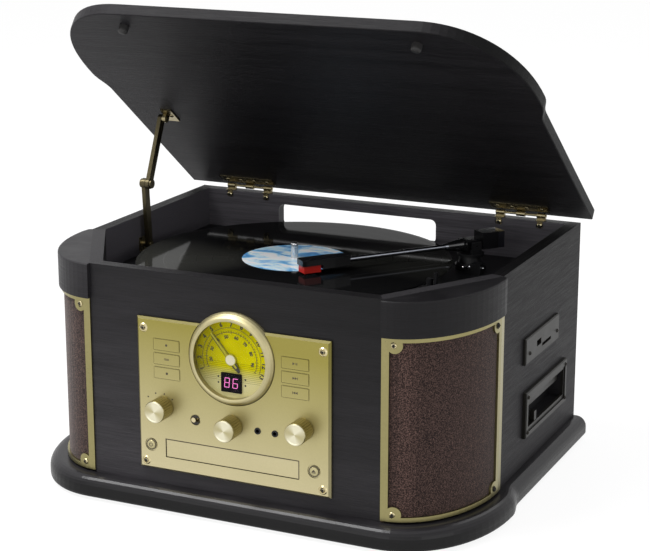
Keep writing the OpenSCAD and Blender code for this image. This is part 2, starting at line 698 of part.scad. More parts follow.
// long tapering shell, open underneath where the cartridge sits
module headshell() color("#161617") inbox() armspace() difference() {
  union() {
    translate([arm_l + 5 - shell_l, 0, 0]) linear_extrude(5.2) polygon([[0, -4.5], [18, -8], [shell_l - 3, -8],
      [shell_l, -6], [shell_l, 6], [shell_l - 3, 8], [18, 8], [0, 4.5]]);
    translate([arm_l + 5 - shell_l, 0, -4]) linear_extrude(4.2) polygon([[0, -4.5], [18, -8], [30, -8],
      [30, 8], [18, 8], [0, 4.5]]);
    translate([arm_l - 24, -14, 2]) cube([3, 7, 1.5]);
  }
  translate([arm_l - shell_l, 0, 0]) rotate([0, 90, 0]) cylinder(r = tube_r, h = 9);
}

// red cartridge body with the stylus under its front end
module cartridge() color("#c01818") inbox() armspace() {
  low = record_z1 - arm_z;
  translate([arm_l - 13.5, -6, low + 2.4]) cube([17, 12, -low - 2.4]);
  translate([arm_l, 0, low + air_gap]) cylinder(r1 = 0.3, r2 = 1.1, h = 2.5);
}

module cue_lever() color(steel) inbox() translate([cue_at.x, cue_at.y, deck_z + 6]) {
  translate([-10.5, 0, 0]) rotate([0, 90, 0]) cylinder(r = 2.4, h = 4);
  translate([-8, 0, 0]) rotate([0, 90, 0]) cylinder(r = 1.5, h = 15);
  translate([-8.5, 0, 0]) rotate([0, 0, -90]) rotate([0, 78, 0]) domed(1.4, 17, 1.4);
}

module speed_switch() color(steel) inbox() translate([speed_at.x, speed_at.y - 5, deck_z]) {
  translate([-2.5 + slide_gap, -3, -deck_t - 0.5]) cube([5 - 2 * slide_gap, 6, deck_t + 1]);
  translate([-3.5, -3.5, air_gap]) cube([7, 7, 1.5]);
  translate([-1.2, -2.5, 1]) cube([2.4, 5, 5]);
}

// ---------- control panel ----------

panel_x = plate_x - 1.5;
knob_dx = plate_w / 2 - knob_in;
button_dx = (bezel_d + plate_w) / 4 - button_in;
band_at = [panel_x - 35, 67];
jack_at = [[panel_x + 26.3, 66], [panel_x + 43, 66]];
power_at = [panel_x - plate_w / 2 + round_button_in, round_button_z];
tray_button_at = [panel_x + plate_w / 2 - round_button_in, round_button_z];
knob_at = [[plate_x - knob_dx, knob_z], [plate_x, tuning_z], [plate_x + knob_dx, knob_z]];
button_rows = [button_z + button_pitch, button_z, button_z - button_pitch];
knob_bush_r = 4.9;
shaft_r = 3;
jack_r = 3;
band_travel = 3;

module faceplate() color(gold) inbox() difference() {
  on_front(plate_x, plate_z) bevelled(plate_w, plate_h, plate_t, plate_bevel);
  on_front(plate_x, dial_z, 1) cylinder(d = bezel_d + 0.1, h = plate_t + 2);
  for (p = knob_at) on_front(p.x, p.y, 1) cylinder(r = knob_bush_r + 0.1, h = plate_t + 2);
  for (sx = [-1, 1], z = button_rows) on_front(panel_x + sx * button_dx, z, 1)
    slab(button_w + 2 * slide_gap, button_h + 2 * slide_gap, plate_t + 2, 1);
  for (p = jack_at) on_front(p.x, p.y, 1) cylinder(r = jack_r + 0.1, h = plate_t + 2);
  for (p = [power_at, tray_button_at]) on_front(p.x, p.y, 1) {
    cylinder(r = round_button_d / 2 + slide_gap, h = plate_t + 2);
    translate([0, 0, plate_t + 0.2]) tube(round_button_d / 2 + 2.2, round_button_d / 2 + 1.3, 2);
  }
  on_front(band_at.x, band_at.y, 1) {
    translate([0, 0, plate_t - 0.8]) cylinder(r = 5, h = 3);
    slab(3 + band_travel + 2 * slide_gap, 3 + 2 * slide_gap, plate_t + 2, 0.4);
  }
  on_front(tray_x, tray_z, 1) translate([-tray_w / 2 - air_gap, -tray_h / 2 - air_gap, 0])
    cube([tray_w + 2 * air_gap, tray_h + 2 * air_gap, plate_t + 2]);
}

module dial_bezel() color(gold) inbox() on_front(plate_x, dial_z) {
  r = bezel_d / 2;
  rotate_extrude() polygon([[r, 0], [r, bezel_rise - 6.5], [r - 1, bezel_rise - 4],
    [r - 2.5, bezel_rise - 1.7], [r - 4, bezel_rise - 0.4], [r - 5.5, bezel_rise],
    [r - bezel_ring, bezel_rise - 0.4], [r - bezel_ring, dial_back], [r - bezel_ring - 3, dial_back],
    [r - bezel_ring - 3, -6], [r - bezel_ring - 0.5, -6], [r - bezel_ring - 0.5, 0]]);
}

module dial_plate() color("#d9d010") inbox() on_front(plate_x, dial_z) difference() {
  translate([0, 0, dial_back]) cylinder(r = dial_r, h = dial_front - dial_back);
  translate([0, 0, -1]) cylinder(r = 1.5 + run_gap, h = 10);
}

display_drop = dial_z - 106.5;
module display_window() color("#120608") inbox() on_front(plate_x, dial_z - display_drop, -dial_front)
  slab(display_w, display_h, 1.4, 0.8);

module dial_glass() color("#e8f0e8", 0.3) inbox() on_front(plate_x, dial_z, -glass_back)
  cylinder(r = dial_r, h = glass_front - glass_back);

module dial_pointer() color(steel) inbox() on_front(plate_x, dial_z) {
  translate([0, 0, 1 - board_y]) cylinder(r = 1.5, h = board_y + dial_front);
  translate([0, 0, dial_front + air_gap]) cylinder(r = 5.2, h = 2.2);
  rotate(pointer_dir) translate([0, -0.7, dial_front + 1.9]) cube([pointer_l, 1.4, 0.6]);
  rotate(pointer_dir + 180) translate([0, -0.9, dial_front + 1.9]) cube([9, 1.8, 0.6]);
}

mains_x = wall + 37 - box_w / 2;
// control board with the rotary controls, button switches and dial drive, then the main board,
// its parts and the transformer on the plinth
module electronics() color("#2f5a3a") inbox() {
  difference() {
    block(plate_x - plate_w / 2 + 1.75, plate_x + plate_w / 2 - 1.75, board_y, board_y + board_t,
      tray_z + tray_h, deck_z - deck_t - 3);
    for (p = knob_at) on_front(p.x, p.y, board_y + 5) cylinder(r = shaft_r + 1, h = 10);
    on_front(plate_x, dial_z, board_y + 5) cylinder(r = 4, h = 10);
  }
  for (p = knob_at) on_front(p.x, p.y) difference() {
    union() {
      translate([0, 0, -pot_back]) cylinder(r = 8.5, h = pot_back - 0.5);
      translate([0, 0, -0.6]) cylinder(r = knob_bush_r, h = plate_t);
    }
    translate([0, 0, -pot_back - 1]) cylinder(r = shaft_r + run_gap, h = pot_back + plate_t + 2);
  }
  on_front(plate_x, dial_z, board_y) difference() {
    cylinder(r = 6, h = 5.5);
    translate([0, 0, -1]) cylinder(r = 1.5 + run_gap, h = 8);
  }
  for (sx = [-1, 1], z = button_rows) on_front(panel_x + sx * button_dx, z, board_y)
    translate([-3, -3, 0]) cube([6, 6, 5]);
  for (x = [-120, 60], y = [inner_back - 109, inner_back - 19]) translate([x, y, 0]) cylinder(r = 3, h = 6);
  block(-128, 68, inner_back - 117, inner_back - 11, 6, 6 + board_t);
  block(20, 62, inner_back - 92, inner_back - 84, 6 + board_t, 44);
  for (p = [[-20, 74], [0, 34], [-40, 32]]) translate([p.x, inner_back - p.y, 6 + board_t]) cylinder(r = 8, h = 26);
  block(mains_x - 23, mains_x + 23, 150, 200, 0, 12);
  block(mains_x - 19, mains_x + 19, 155, 195, 12, 44);
}

inlet_x = box_w / 2 - 56;
line_x = 56 - box_w / 2;
// headphone and line jacks in front, ports on the right, line sockets and mains inlet at the back
module sockets() color("#1b1b1b") inbox() {
  for (p = jack_at) on_front(p.x, p.y) difference() {
    union() {
      translate([-4.5, -5.5, -board_y]) cube([9, 11, board_y - 0.2]);
      cylinder(r = jack_r, h = plate_t + 0.6);
      translate([0, 0, -0.3]) cylinder(r = jack_r, h = 1);
    }
    translate([0, 0, -board_y + 1]) cylinder(r = 1.75, h = 30);
  }
  on_side(usb_at.x, usb_at.y, box_w / 2 - 14) difference() {
    translate([-7, -3.6, 0]) cube([14, 7.2, 14]);
    translate([-6, -2.6, 1]) cube([12, 5.2, 20]);
  }
  on_side(usb_at.x, usb_at.y, box_w / 2 - 13.5) translate([-5.5, -0.9, 0]) cube([11, 1.8, 12]);
  on_side(card_at.x, card_at.y, box_w / 2 - 18) difference() {
    translate([-14, -2.5, 0]) cube([28, 5, 18]);
    translate([-12.5, -1.3, 1]) cube([25, 2.6, 20]);
  }
  difference() {
    block(inlet_x - 15, inlet_x + 15, inner_back - 6, box_d, 22, 40);
    on_front(inlet_x, 31, box_d + 1) translate([0, 0, 0]) slab(19, 9, 15, 4.4);
  }
  for (s = [-1, 1]) on_front(inlet_x + s * 4.3, 31, box_d - 4) cylinder(r = 1.2, h = 10);
  difference() {
    block(line_x - 24, line_x + 24, box_d - 3, box_d, 20, 42);
    for (i = [-1, 1]) on_front(line_x + 11 * i, 31, box_d + 1) cylinder(r = 2.2, h = 5);
  }
  for (i = [-1, 1]) translate([line_x + 11 * i, box_d - 3, 31]) rotate([-90, 0, 0]) tube(4.2, 2.2, 6);
}

module knob(p) inbox() on_front(p.x, p.y, -plate_t - air_gap) {
  r = knob_d / 2;
  difference() {
    rotate_extrude() polygon([[0, 0], [r - 0.8, 0], [r, 0.8], [r, knob_l - 1.4], [r - 0.5, knob_l - 0.4],
      [r - 1.2, knob_l], [r - 2.2, knob_l - 0.3], [0, knob_l - 0.3]]);
    for (i = [0:27]) rotate(360 / 28 * i) translate([r, 0, 1.6]) rotate(45)
      translate([-0.35, -0.35, 0]) cube([0.7, 0.7, knob_l - 3.6]);
  }
  translate([0, 0, -plate_t - air_gap - pot_back + 1]) cylinder(r = shaft_r, h = plate_t + pot_back);
}

module selector_knob() color(gold) knob(knob_at[0]);
module tuning_knob() color(gold) knob(knob_at[1]);
module volume_knob() color(gold) knob(knob_at[2]);

// push button: cap through the panel, with a stem that meets its switch
module push_button(sx, z) color(gold) inbox() on_front(panel_x + sx * button_dx, z) {
  slab(button_w, button_h, plate_t + button_rise - 0.4, 0.8);
  translate([0, 0, plate_t + button_rise - 0.5]) slab(button_w - 0.8, button_h - 0.8, 0.5, 0.8);
  translate([0, 0, -board_y + 5 + button_travel + 0.3]) cylinder(r = 2.2, h = board_y - 5 - button_travel);
}

module button_left_top() push_button(-1, button_rows[0]);
module button_left_middle() push_button(-1, button_rows[1]);
module button_left_bottom() push_button(-1, button_rows[2]);
module button_right_top() push_button(1, button_rows[0]);
module button_right_middle() push_button(1, button_rows[1]);
module button_right_bottom() push_button(1, button_rows[2]);

module round_button(p) color(gold) inbox() on_front(p.x, p.y, 2) domed(round_button_d / 2, plate_t + 3.2, 0.8);
module power_button() round_button(power_at);
module tray_button() round_button(tray_button_at);

module band_switch() color(steel) inbox() on_front(band_at.x - band_travel / 2, band_at.y) {
  translate([-1.5, -1.5, -2]) cube([3, 3, plate_t + 2.6]);
  translate([-2.6, -2.6, -2]) cube([5.2, 5.2, 1.7]);
}

// ---------- disc player ----------

tray_x = panel_x;
rail_x = tray_w / 2 - 2;
module cd_mechanism() color("#3c3c40") inbox() {
  difference() {
    block(tray_x - rail_x - 5, tray_x + rail_x + 5, wall + 2, tray_l + 30, tray_z - 22, tray_z + 14);
    block(tray_x - rail_x - air_gap, tray_x + rail_x + air_gap, wall, tray_l + 20, tray_z - 5 - air_gap, tray_z + 16);
    block(tray_x - 50, tray_x + 50, wall + 20, wall + 140, tray_z - 18, tray_z);
  }
  block(tray_x - 60, tray_x + 60, wall + 30, wall + 120, 0, tray_z - 22);
  translate([tray_x, 85, tray_z - 18]) {
    cylinder(r = 14, h = 6);
    cylinder(r = 3, h = 12);
  }
}

module cd_tray() color(gold) inbox() {
  on_front(tray_x, tray_z, -plate_t + 3.5) bevelled(tray_w, tray_h, 3, 0.4);
  difference() {
    block(tray_x - rail_x, tray_x + rail_x, -plate_t + 3.5, tray_l, tray_z - 5, tray_z);
    translate([tray_x, 78, tray_z - 2.2]) cylinder(r = 60.5, h = 4);
    translate([tray_x, 78, tray_z - 6]) cylinder(r = 17, h = 9);
    block(tray_x - 17, tray_x + 17, 78, tray_l - 8, tray_z - 6, tray_z + 1);
  }
}

// ---------- right side ----------

usb_at = [port_y - 11.5, port_z + 0.5];
card_at = [port_y + 10.5, port_z - 4.5];
port_screw_y = [port_y - 37, port_y + 42];
tape_screw = [tape_w / 2 - 5, tape_h / 2 - 5];

module port_plate() color(bronze) inbox() difference() {
  on_side(port_y, port_z) bevelled(port_w, port_h, port_t, 1);
  on_side(usb_at.x, usb_at.y, box_w / 2 - 1) translate([-6.2, -2.8, 0]) cube([12.4, 5.6, port_t + 2]);
  on_side(card_at.x, card_at.y, box_w / 2 - 1) translate([-12.8, -1.5, 0]) cube([25.6, 3, port_t + 2]);
}

// stepped frame: an outer rim, a lower inner ledge, then the opening
module cassette_frame() color(bronze) inbox() difference() {
  on_side(tape_y, tape_z) bevelled(tape_w, tape_h, tape_t, 1);
  on_side(tape_y, tape_z - 0.5, box_w / 2 + tape_t - 1.2)
    translate([-tape_open_w / 2 - 3, -tape_open_h / 2 - 3.5, 0]) cube([tape_open_w + 6, tape_open_h + 7, 3]);
  on_side(tape_y, tape_z, box_w / 2 - 1)
    translate([-tape_open_w / 2, -tape_open_h / 2, 0]) cube([tape_open_w, tape_open_h, tape_t + 2]);
}

tape_slot_z0 = tape_z - 3;
tape_slot_z1 = tape_z + 12;
module cassette_mechanism() color("#26262a") inbox() {
  x1 = box_w / 2 - wall;
  difference() {
    block(x1 - tape_depth, x1, tape_y - tape_open_w / 2 - 6, tape_y + tape_open_w / 2 + 6, 0, tape_z + tape_top);
    block(x1 - tape_depth + 6, x1 + 1, tape_y - tape_open_w / 2 + 1, tape_y + tape_open_w / 2 - 1, tape_slot_z0, tape_slot_z1);
    block(x1 - tape_depth + 14, x1 - 26, tape_y - 40, tape_y + 40, 8, tape_slot_z0 - 6);
    block(x1 - 10, x1 + 1, tape_y - tape_open_w / 2 + 1, tape_y + tape_open_w / 2 - 1, tape_slot_z0, tape_z + 15);
    block(x1 - 20, x1 + 1, key_y - 3.3, key_y + 3.3, key_z - air_gap, key_z + 3.2 + air_gap);
  }
  for (s = [-1, 1]) translate([x1 - 40, tape_y + 21 * s, tape_slot_z0]) cylinder(r = 3, h = 1.5);
  block(x1 - tape_depth + 8, x1 - tape_depth + 18, tape_y - 14, tape_y + 14, tape_slot_z0, tape_slot_z0 + 8);
}

flap_z = tape_z + tape_open_h / 2 - 2;
flap_x = box_w / 2 - 3;
flap_w = tape_open_w - 6;
// spring flap under the opening's upper edge, on its own hinge rod
module cassette_flap() color("#6a655c") inbox() {
  translate([flap_x, tape_y - flap_w / 2 - 4.5, flap_z]) rotate([-90, 0, 0]) cylinder(r = 1, h = flap_w + 9);
  translate([flap_x - 0.7, tape_y - flap_w / 2, flap_z - 8.5]) cube([1.4, flap_w, 8.5]);
}

key_y = tape_y - tape_open_w / 2 + 22;
key_z = tape_z - tape_open_h / 2 + 0.4;
// eject key, low in the opening, pushed inward
module cassette_key() color(steel) inbox() {
  translate([box_w / 2 - 24, key_y - 3, key_z]) cube([26, 6, 3.2]);
  translate([box_w / 2 - 2, key_y - 3, key_z]) cube([4.5, 6, 9]);
}

// ---------- screws ----------

module screws() color("#cbbd80") inbox() {
  both() for (a = grille_screw_a, z = grille_screw_z) on_ear(a, z, -frame_step) screw_head(2.6, 1.4);
  for (sx = [-1, 1], sz = [-1, 1]) on_front(plate_x + sx * plate_screw.x,
    plate_z - plate_screw_drop + sz * plate_screw.y, -plate_t) {
    rotate_extrude() polygon([[0, 0], [4.2, 0], [3.2, 0.9], [2.6, 0.9], [2.2, 0.4], [0, 0.4]]);
    translate([0, 0, 0.4]) screw_head(2.1, 1.2);
  }
  both() for (x = hinge_screw_x) on_front(x, box_h - 3.8, inner_back - leaf_t) screw_head(2.9, 2);
  for (y = port_screw_y) on_side(y, port_z - 3.2, box_w / 2 + port_t) screw_head(2, 1);
  for (sy = [-1, 1], sz = [-1, 1]) on_side(tape_y + sy * tape_screw.x, tape_z + sz * tape_screw.y,
    box_w / 2 + tape_t) screw_head(2, 0.9);
}

// ---------- lid ----------

// turns closed-lid geometry up about the hinge axis to the open rest position
module opened() inbox() translate([0, hinge_y, hinge_z]) rotate([-lid_open, 0, 0])
  translate([0, -hinge_y, -hinge_z]) children();

module lid_board() color(wood) opened() translate([0, 0, lid_z])
  shaped_board(lid_over, lid_back, lid_t, lid_round, lid_round, lid_full, lid_lobe);

strap_w = 5.4;
// a strap over the back panel's inner edge under each outer knuckle, the pin through all three
// knuckles, and the stay's pivot on the left wall
module wall_hardware() color(brass) inbox() {
  both() {
    for (x = hinge_screw_x) {
      translate([x - knuckle_w / 2, 0, 0]) {
        translate([0, hinge_y, hinge_z]) rotate([0, 90, 0]) cylinder(r = knuckle_r, h = knuckle_w);
        translate([(knuckle_w - strap_w) / 2, inner_back - leaf_t, box_h - 6.5]) cube([strap_w, leaf_t, 6.5 + leaf_t]);
        translate([0, inner_back - leaf_t, box_h]) cube([knuckle_w, hinge_y - inner_back + 2.5, leaf_t]);
        translate([0, hinge_y - 1.5, box_h]) cube([knuckle_w, 3, hinge_z - box_h]);
      }
    }
    translate([hinge_screw_x[0] - knuckle_w / 2 - 0.6, hinge_y, hinge_z]) rotate([0, 90, 0])
      cylinder(r = hinge_pin_r, h = hinge_screw_x[1] - hinge_screw_x[0] + knuckle_w + 1.2);
  }
  translate([-box_w / 2 + wall, stay_wall.x, stay_wall.y]) {
    translate([0, -7, -7]) cube([1.5, 14, 14]);
    rotate([0, 90, 0]) {
      cylinder(r = 3.5, h = stay_off - air_gap);
      cylinder(r = stay_pin_r, h = stay_off + stay_t + 0.5);
      translate([0, 0, stay_off + stay_t + air_gap]) cylinder(r = 3.2, h = 1);
    }
  }
}

stay_ear_x = stay_x + 2 * stay_t + 2 * air_gap;
// lid leaves with their middle knuckles and screws, and the stay's bracket
module lid_hardware() color(brass) opened() {
  both() {
    difference() {
      union() {
        block(hinge_x - hinge_w / 2, hinge_x + hinge_w / 2, hinge_y - 15, hinge_y - knuckle_r - 0.8,
          lid_z - leaf_t, lid_z);
        block(hinge_x - knuckle_w / 2, hinge_x + knuckle_w / 2, hinge_y - 8, hinge_y, lid_z - leaf_t, lid_z);
        translate([hinge_x - knuckle_w / 2, hinge_y, hinge_z]) rotate([0, 90, 0])
          cylinder(r = knuckle_r, h = knuckle_w);
      }
      translate([hinge_x - knuckle_w, hinge_y, hinge_z]) rotate([0, 90, 0])
        cylinder(r = hinge_pin_r + run_gap, h = 2 * knuckle_w);
    }
    for (i = [0:3]) translate([hinge_x + (i - 1.5) * hinge_w / 4, hinge_y - 9, lid_z - leaf_t])
      rotate([180, 0, 0]) screw_head(2.2, 1.2);
  }
  block(stay_ear_x, stay_ear_x + 12, stay_lid.x - 11, stay_lid.x + 11, lid_z - 1.5, lid_z);
  translate([stay_ear_x, 0, 0]) link([stay_lid.x, stay_lid.y], [stay_lid.x, lid_z - 4], 8, stay_t);
  translate([stay_x + stay_t + air_gap, stay_lid.x, stay_lid.y]) rotate([0, 90, 0])
    cylinder(r = stay_pin_r, h = stay_ear_x - stay_x);
  translate([stay_ear_x + 8, stay_lid.x, lid_z - 1.5]) rotate([180, 0, 0]) screw_head(2.2, 1.2);
}

module lid_bumpers() color("#55534f") opened() both()
  translate([front_w / 2 - 0.5, 3.5, lid_z]) rotate([180, 0, 0]) domed(bumper_d / 2, lid_gap - 0.4, 2.5);

knee_r = 5.2;
rivet_h = 2;
// arm with its inner end bored for a fixed pivot and half of the middle rivet at the other end
module stay_arm(x, bored, knee, rivet_side) translate([x, 0, 0]) {
  difference() {
    union() {
      link(bored, knee, stay_w, stay_t);
      translate([0, knee.x, knee.y]) rotate([0, 90, 0]) cylinder(r = knee_r, h = stay_t);
    }
    translate([-1, bored.x, bored.y]) rotate([0, 90, 0]) cylinder(r = stay_pin_r + run_gap, h = stay_t + 2);
  }
  translate([rivet_side > 0 ? stay_t : -rivet_h, knee.x, knee.y]) rotate([0, 90, 0])
    cylinder(r = knee_r - 0.8, h = rivet_h);
}

module stay_lower_arm() color(brass) inbox() stay_arm(stay_x, stay_wall, stay_knee, -1);

module stay_upper_arm() color(brass) inbox()
  stay_arm(stay_x + stay_t + air_gap, stay_lid_open, stay_knee, 1);

// ---------- assembly ----------

rubber_feet();
plinth();
front_panel();
side_panels();
back_panel();
speaker_baffles();
ear_caps();
grille_frames();
grille_cloths();
speaker_drivers();
deck_plate();
spindle_bush();
motor();
drive_belt();
faceplate();
screws();
dial_bezel();
dial_plate();
display_window();
dial_glass();
electronics();
sockets();
cd_mechanism();
port_plate();
cassette_frame();
cassette_mechanism();
tonearm_base();
wall_hardware();
lid_board();
lid_hardware();
lid_bumpers();
stay_lower_arm();
stay_upper_arm();
platter();
record();
record_label();
spindle();
motor_pulley();
tonearm_turret();
tonearm();
headshell();
cartridge();
cue_lever();
selector_knob();
tuning_knob();
volume_knob();
dial_pointer();
button_left_top();
button_left_middle();
button_left_bottom();
button_right_top();
button_right_middle();
button_right_bottom();
power_button();
tray_button();
band_switch();
speed_switch();
cd_tray();
cassette_flap();
cassette_key();
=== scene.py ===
import bmesh
import bpy
import json
import math
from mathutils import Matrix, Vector


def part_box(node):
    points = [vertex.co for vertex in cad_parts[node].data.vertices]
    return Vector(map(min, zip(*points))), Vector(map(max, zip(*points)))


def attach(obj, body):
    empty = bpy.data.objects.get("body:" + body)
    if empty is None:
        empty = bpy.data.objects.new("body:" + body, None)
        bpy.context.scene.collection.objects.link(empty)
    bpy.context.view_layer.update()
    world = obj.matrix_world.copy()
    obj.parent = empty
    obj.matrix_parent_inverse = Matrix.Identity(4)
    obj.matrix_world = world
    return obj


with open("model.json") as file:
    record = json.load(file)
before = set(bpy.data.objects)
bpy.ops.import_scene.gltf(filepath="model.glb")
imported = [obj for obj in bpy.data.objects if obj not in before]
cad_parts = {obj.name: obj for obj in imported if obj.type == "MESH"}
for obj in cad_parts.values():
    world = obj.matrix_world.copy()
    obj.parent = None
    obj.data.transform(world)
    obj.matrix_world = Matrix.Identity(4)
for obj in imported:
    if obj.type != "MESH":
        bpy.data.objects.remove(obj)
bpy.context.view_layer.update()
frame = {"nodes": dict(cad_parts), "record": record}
nodes = frame["nodes"]
print("frame loaded:", len(nodes), "parts")

mm = 0.001
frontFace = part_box("front_panel")[0].y  # outer face of the flat front board
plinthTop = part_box("plinth")[1].z


# camera at the photograph's angle
viewpoint = dict(place=(0.70610, -1.48284, 0.62463), azimuth=24.965, elevation=14.981, lens=100.55)


def makeCamera(v):
    azimuth, elevation = math.radians(v["azimuth"]), math.radians(v["elevation"])
    back = Vector((math.sin(azimuth) * math.cos(elevation), -math.cos(azimuth) * math.cos(elevation),
                   math.sin(elevation)))
    camera = bpy.data.objects.new("camera", bpy.data.cameras.new("camera"))
    bpy.context.collection.objects.link(camera)
    camera.data.lens = v["lens"]
    camera.data.sensor_width = 36
    camera.rotation_mode = "QUATERNION"
    camera.location = v["place"]
    camera.rotation_quaternion = (-back).to_track_quat("-Z", "Y")
    bpy.context.scene.camera = camera


makeCamera(viewpoint)
print("camera placed")


class Signal:  # a shader socket that takes part in Python expressions
    def __init__(self, tree, socket):
        self.tree = tree
        self.socket = socket

    def join(self, other, operation, swapped=False):
        made = self.tree.nodes.new("ShaderNodeMath")
        made.operation = operation
        for place, value in enumerate((other, self) if swapped else (self, other)):
            connect(self.tree, made.inputs[place], value)
        return Signal(self.tree, made.outputs[0])

    def __add__(self, other): return self.join(other, "ADD")
    def __radd__(self, other): return self.join(other, "ADD")
    def __sub__(self, other): return self.join(other, "SUBTRACT")
    def __rsub__(self, other): return self.join(other, "SUBTRACT", True)
    def __mul__(self, other): return self.join(other, "MULTIPLY")
    def __rmul__(self, other): return self.join(other, "MULTIPLY")
    def __truediv__(self, other): return self.join(other, "DIVIDE")
    def __gt__(self, other): return self.join(other, "GREATER_THAN")
    def __lt__(self, other): return self.join(other, "LESS_THAN")


def connect(tree, socket, value):
    if isinstance(value, Signal):
        tree.links.new(value.socket, socket)
    elif isinstance(value, (tuple, list)) and len(value) == 3 and socket.type == "RGBA":
        socket.default_value = (*value, 1)
    else:
        socket.default_value = value


class Finish:
    def __init__(self, name, **settings):  # settings go to the shader's own sockets
        self.material = bpy.data.materials.new(name)
        self.material.use_nodes = True
        self.tree = self.material.node_tree
        self.shader = self.tree.nodes["Principled BSDF"]
        for key, value in settings.items():
            self.feed(key, value)

    def feed(self, key, value):
        label = {"base": "Base Color", "coat": "Coat Weight", "coatRoughness": "Coat Roughness",
                 "glow": "Emission Color", "glowStrength": "Emission Strength", "ior": "IOR",
                 "specular": "Specular IOR Level", "sheen": "Sheen Weight",
                 "sheenRoughness": "Sheen Roughness", "sheenTint": "Sheen Tint"}.get(key, key.capitalize())
        connect(self.tree, self.shader.inputs[label], value)

    def node(self, kind, settings=None, inputs=None, output=0):
        made = self.tree.nodes.new("ShaderNode" + kind)
        for key, value in (settings or {}).items():
            if key == "stops":
                elements = made.color_ramp.elements
                while len(elements) < len(value):
                    elements.new(0.5)
                for element, (position, colour) in zip(elements, value):
                    element.position = position
                    element.color = (*colour, 1) if len(colour) == 3 else colour
            else:
                setattr(made, key, value)
        for key, value in (inputs or {}).items():
            connect(self.tree, made.inputs[key], value)
        return Signal(self.tree, made.outputs[output])

    def place(self, scale=(1, 1, 1), shift=(0, 0, 0)):
        here = self.node("TexCoord", output="Object")
        moved = self.node("VectorMath", {"operation": "SUBTRACT"}, {0: here, 1: shift})
        return self.node("VectorMath", {"operation": "MULTIPLY"}, {0: moved, 1: scale})

    def axis(self, letter, where=None):
        return self.node("SeparateXYZ", None, {0: where or self.place()}, "XYZ".index(letter))

    def noise(self, scale, detail=3.0, roughness=0.55, distortion=0.0, shift=(0, 0, 0)):
        return self.node("TexNoise", None, {"Vector": self.place(scale, shift), "Scale": 1.0, "Detail": detail,
                                            "Roughness": roughness, "Distortion": distortion})

    def ramp(self, value, *stops):
        return self.node("ValToRGB", {"stops": stops}, {0: value})

    def range(self, value, low, high, newLow=0.0, newHigh=1.0):
        return self.node("MapRange", None, {0: value, 1: low, 2: high, 3: newLow, 4: newHigh})

    def blend(self, share, first, second, mode="MIX"):
        return self.node("Mix", {"data_type": "RGBA", "blend_type": mode},
                         {0: share, 6: first, 7: second}, 2)

    def relief(self, height, depth, strength=1.0):
        bump = self.node("Bump", None, {"Height": height, "Distance": depth, "Strength": strength})
        self.feed("Normal", bump)

    def radius(self, centre, axes="XY"):  # distance from an axis through centre, in metres
        offset = self.node("VectorMath", {"operation": "SUBTRACT"},
                           {0: self.node("TexCoord", output="Object"), 1: tuple(centre)})
        kept = tuple(1.0 if letter in axes else 0.0 for letter in "XYZ")
        flat = self.node("VectorMath", {"operation": "MULTIPLY"}, {0: offset, 1: kept})
        return self.node("VectorMath", {"operation": "LENGTH"}, {0: flat}, "Value")


def wear(name, *names):  # puts a finish on CAD parts
    for node in names:
        part = nodes[node]
        part.data.materials.clear()
        part.data.materials.append(name.material)


def soften(width, *names, segments=3, angle=35):  # small round edges that catch the light
    for node in names:
        bevel = nodes[node].modifiers.new("roundEdge", "BEVEL")
        bevel.width = width * mm
        bevel.segments = segments
        bevel.limit_method = "ANGLE"
        bevel.angle_limit = math.radians(angle)
        bevel.harden_normals = True


def addPiece(name, points, faces, finish, body, slot=None, smooth=False):
    mesh = bpy.data.meshes.new(name)
    mesh.from_pydata([tuple(p) for p in points], [], faces)
    mesh.validate()
    piece = bpy.data.objects.new(name, mesh)
    bpy.context.collection.objects.link(piece)
    mesh.materials.append(finish.material)
    tidy = bmesh.new()
    tidy.from_mesh(mesh)
    bmesh.ops.recalc_face_normals(tidy, faces=tidy.faces)
    tidy.to_mesh(mesh)
    tidy.free()
    if smooth:
        mesh.shade_smooth()
    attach(piece, body)
    return piece


def gather(parts):  # joins (points, faces) lists
    points, faces = [], []
    for somePoints, someFaces in parts:
        faces += [tuple(i + len(points) for i in face) for face in someFaces]
        points += somePoints
    return points, faces


def slabOf(outline, depth, toWorld):  # thin prism over a flat outline
    count = len(outline)
    points = [toWorld(u, v, d) for d in (0, depth) for u, v in outline]
    faces = [tuple(range(count)), tuple(range(2 * count - 1, count - 1, -1))]
    faces += [(i, (i + 1) % count, (i + 1) % count + count, i + count) for i in range(count)]
    return points, faces


def addPrint(name, outlines, thick, toWorld, finish, body, slot):  # flat shapes raised off a face
    return addPiece(name, *gather([slabOf(outline, thick, toWorld) for outline in outlines]), finish, body, slot)


def bar(u0, u1, v0, v1):
    return [(u0, v0), (u1, v0), (u1, v1), (u0, v1)]


def disc(u, v, r, steps=20):
    turns = [2 * math.pi * i / steps for i in range(steps)]
    return [(u + r * math.cos(a), v + r * math.sin(a)) for a in turns]


def glyphs(items, depth, toWorld):  # printed characters: (text, u, v, height, turn)
    parts = []
    for text, u, v, height, turn in items:
        curve = bpy.data.curves.new("print", "FONT")
        curve.body = text
        curve.align_x = "CENTER"
        curve.align_y = "CENTER"
        curve.size = height
        curve.extrude = 0.01
        curve.offset = 0.045 * height
        curve.resolution_u = 2
        helper = bpy.data.objects.new("print", curve)
        mesh = bpy.data.meshes.new_from_object(helper)
        c, s = math.cos(turn), math.sin(turn)
        points = []
        for vertex in mesh.vertices:
            x, y, z = vertex.co
            points.append(toWorld(u + c * x - s * y, v + s * x + c * y, depth if z > 0 else 0))
        parts.append((points, [tuple(face.vertices) for face in mesh.polygons]))
        bpy.data.objects.remove(helper)
        bpy.data.meshes.remove(mesh)
        bpy.data.curves.remove(curve)
    return gather(parts)


woodLook = dict(dark=(0.0115, 0.0108, 0.0122), light=(0.0245, 0.0230, 0.0256), pores=0.00022)


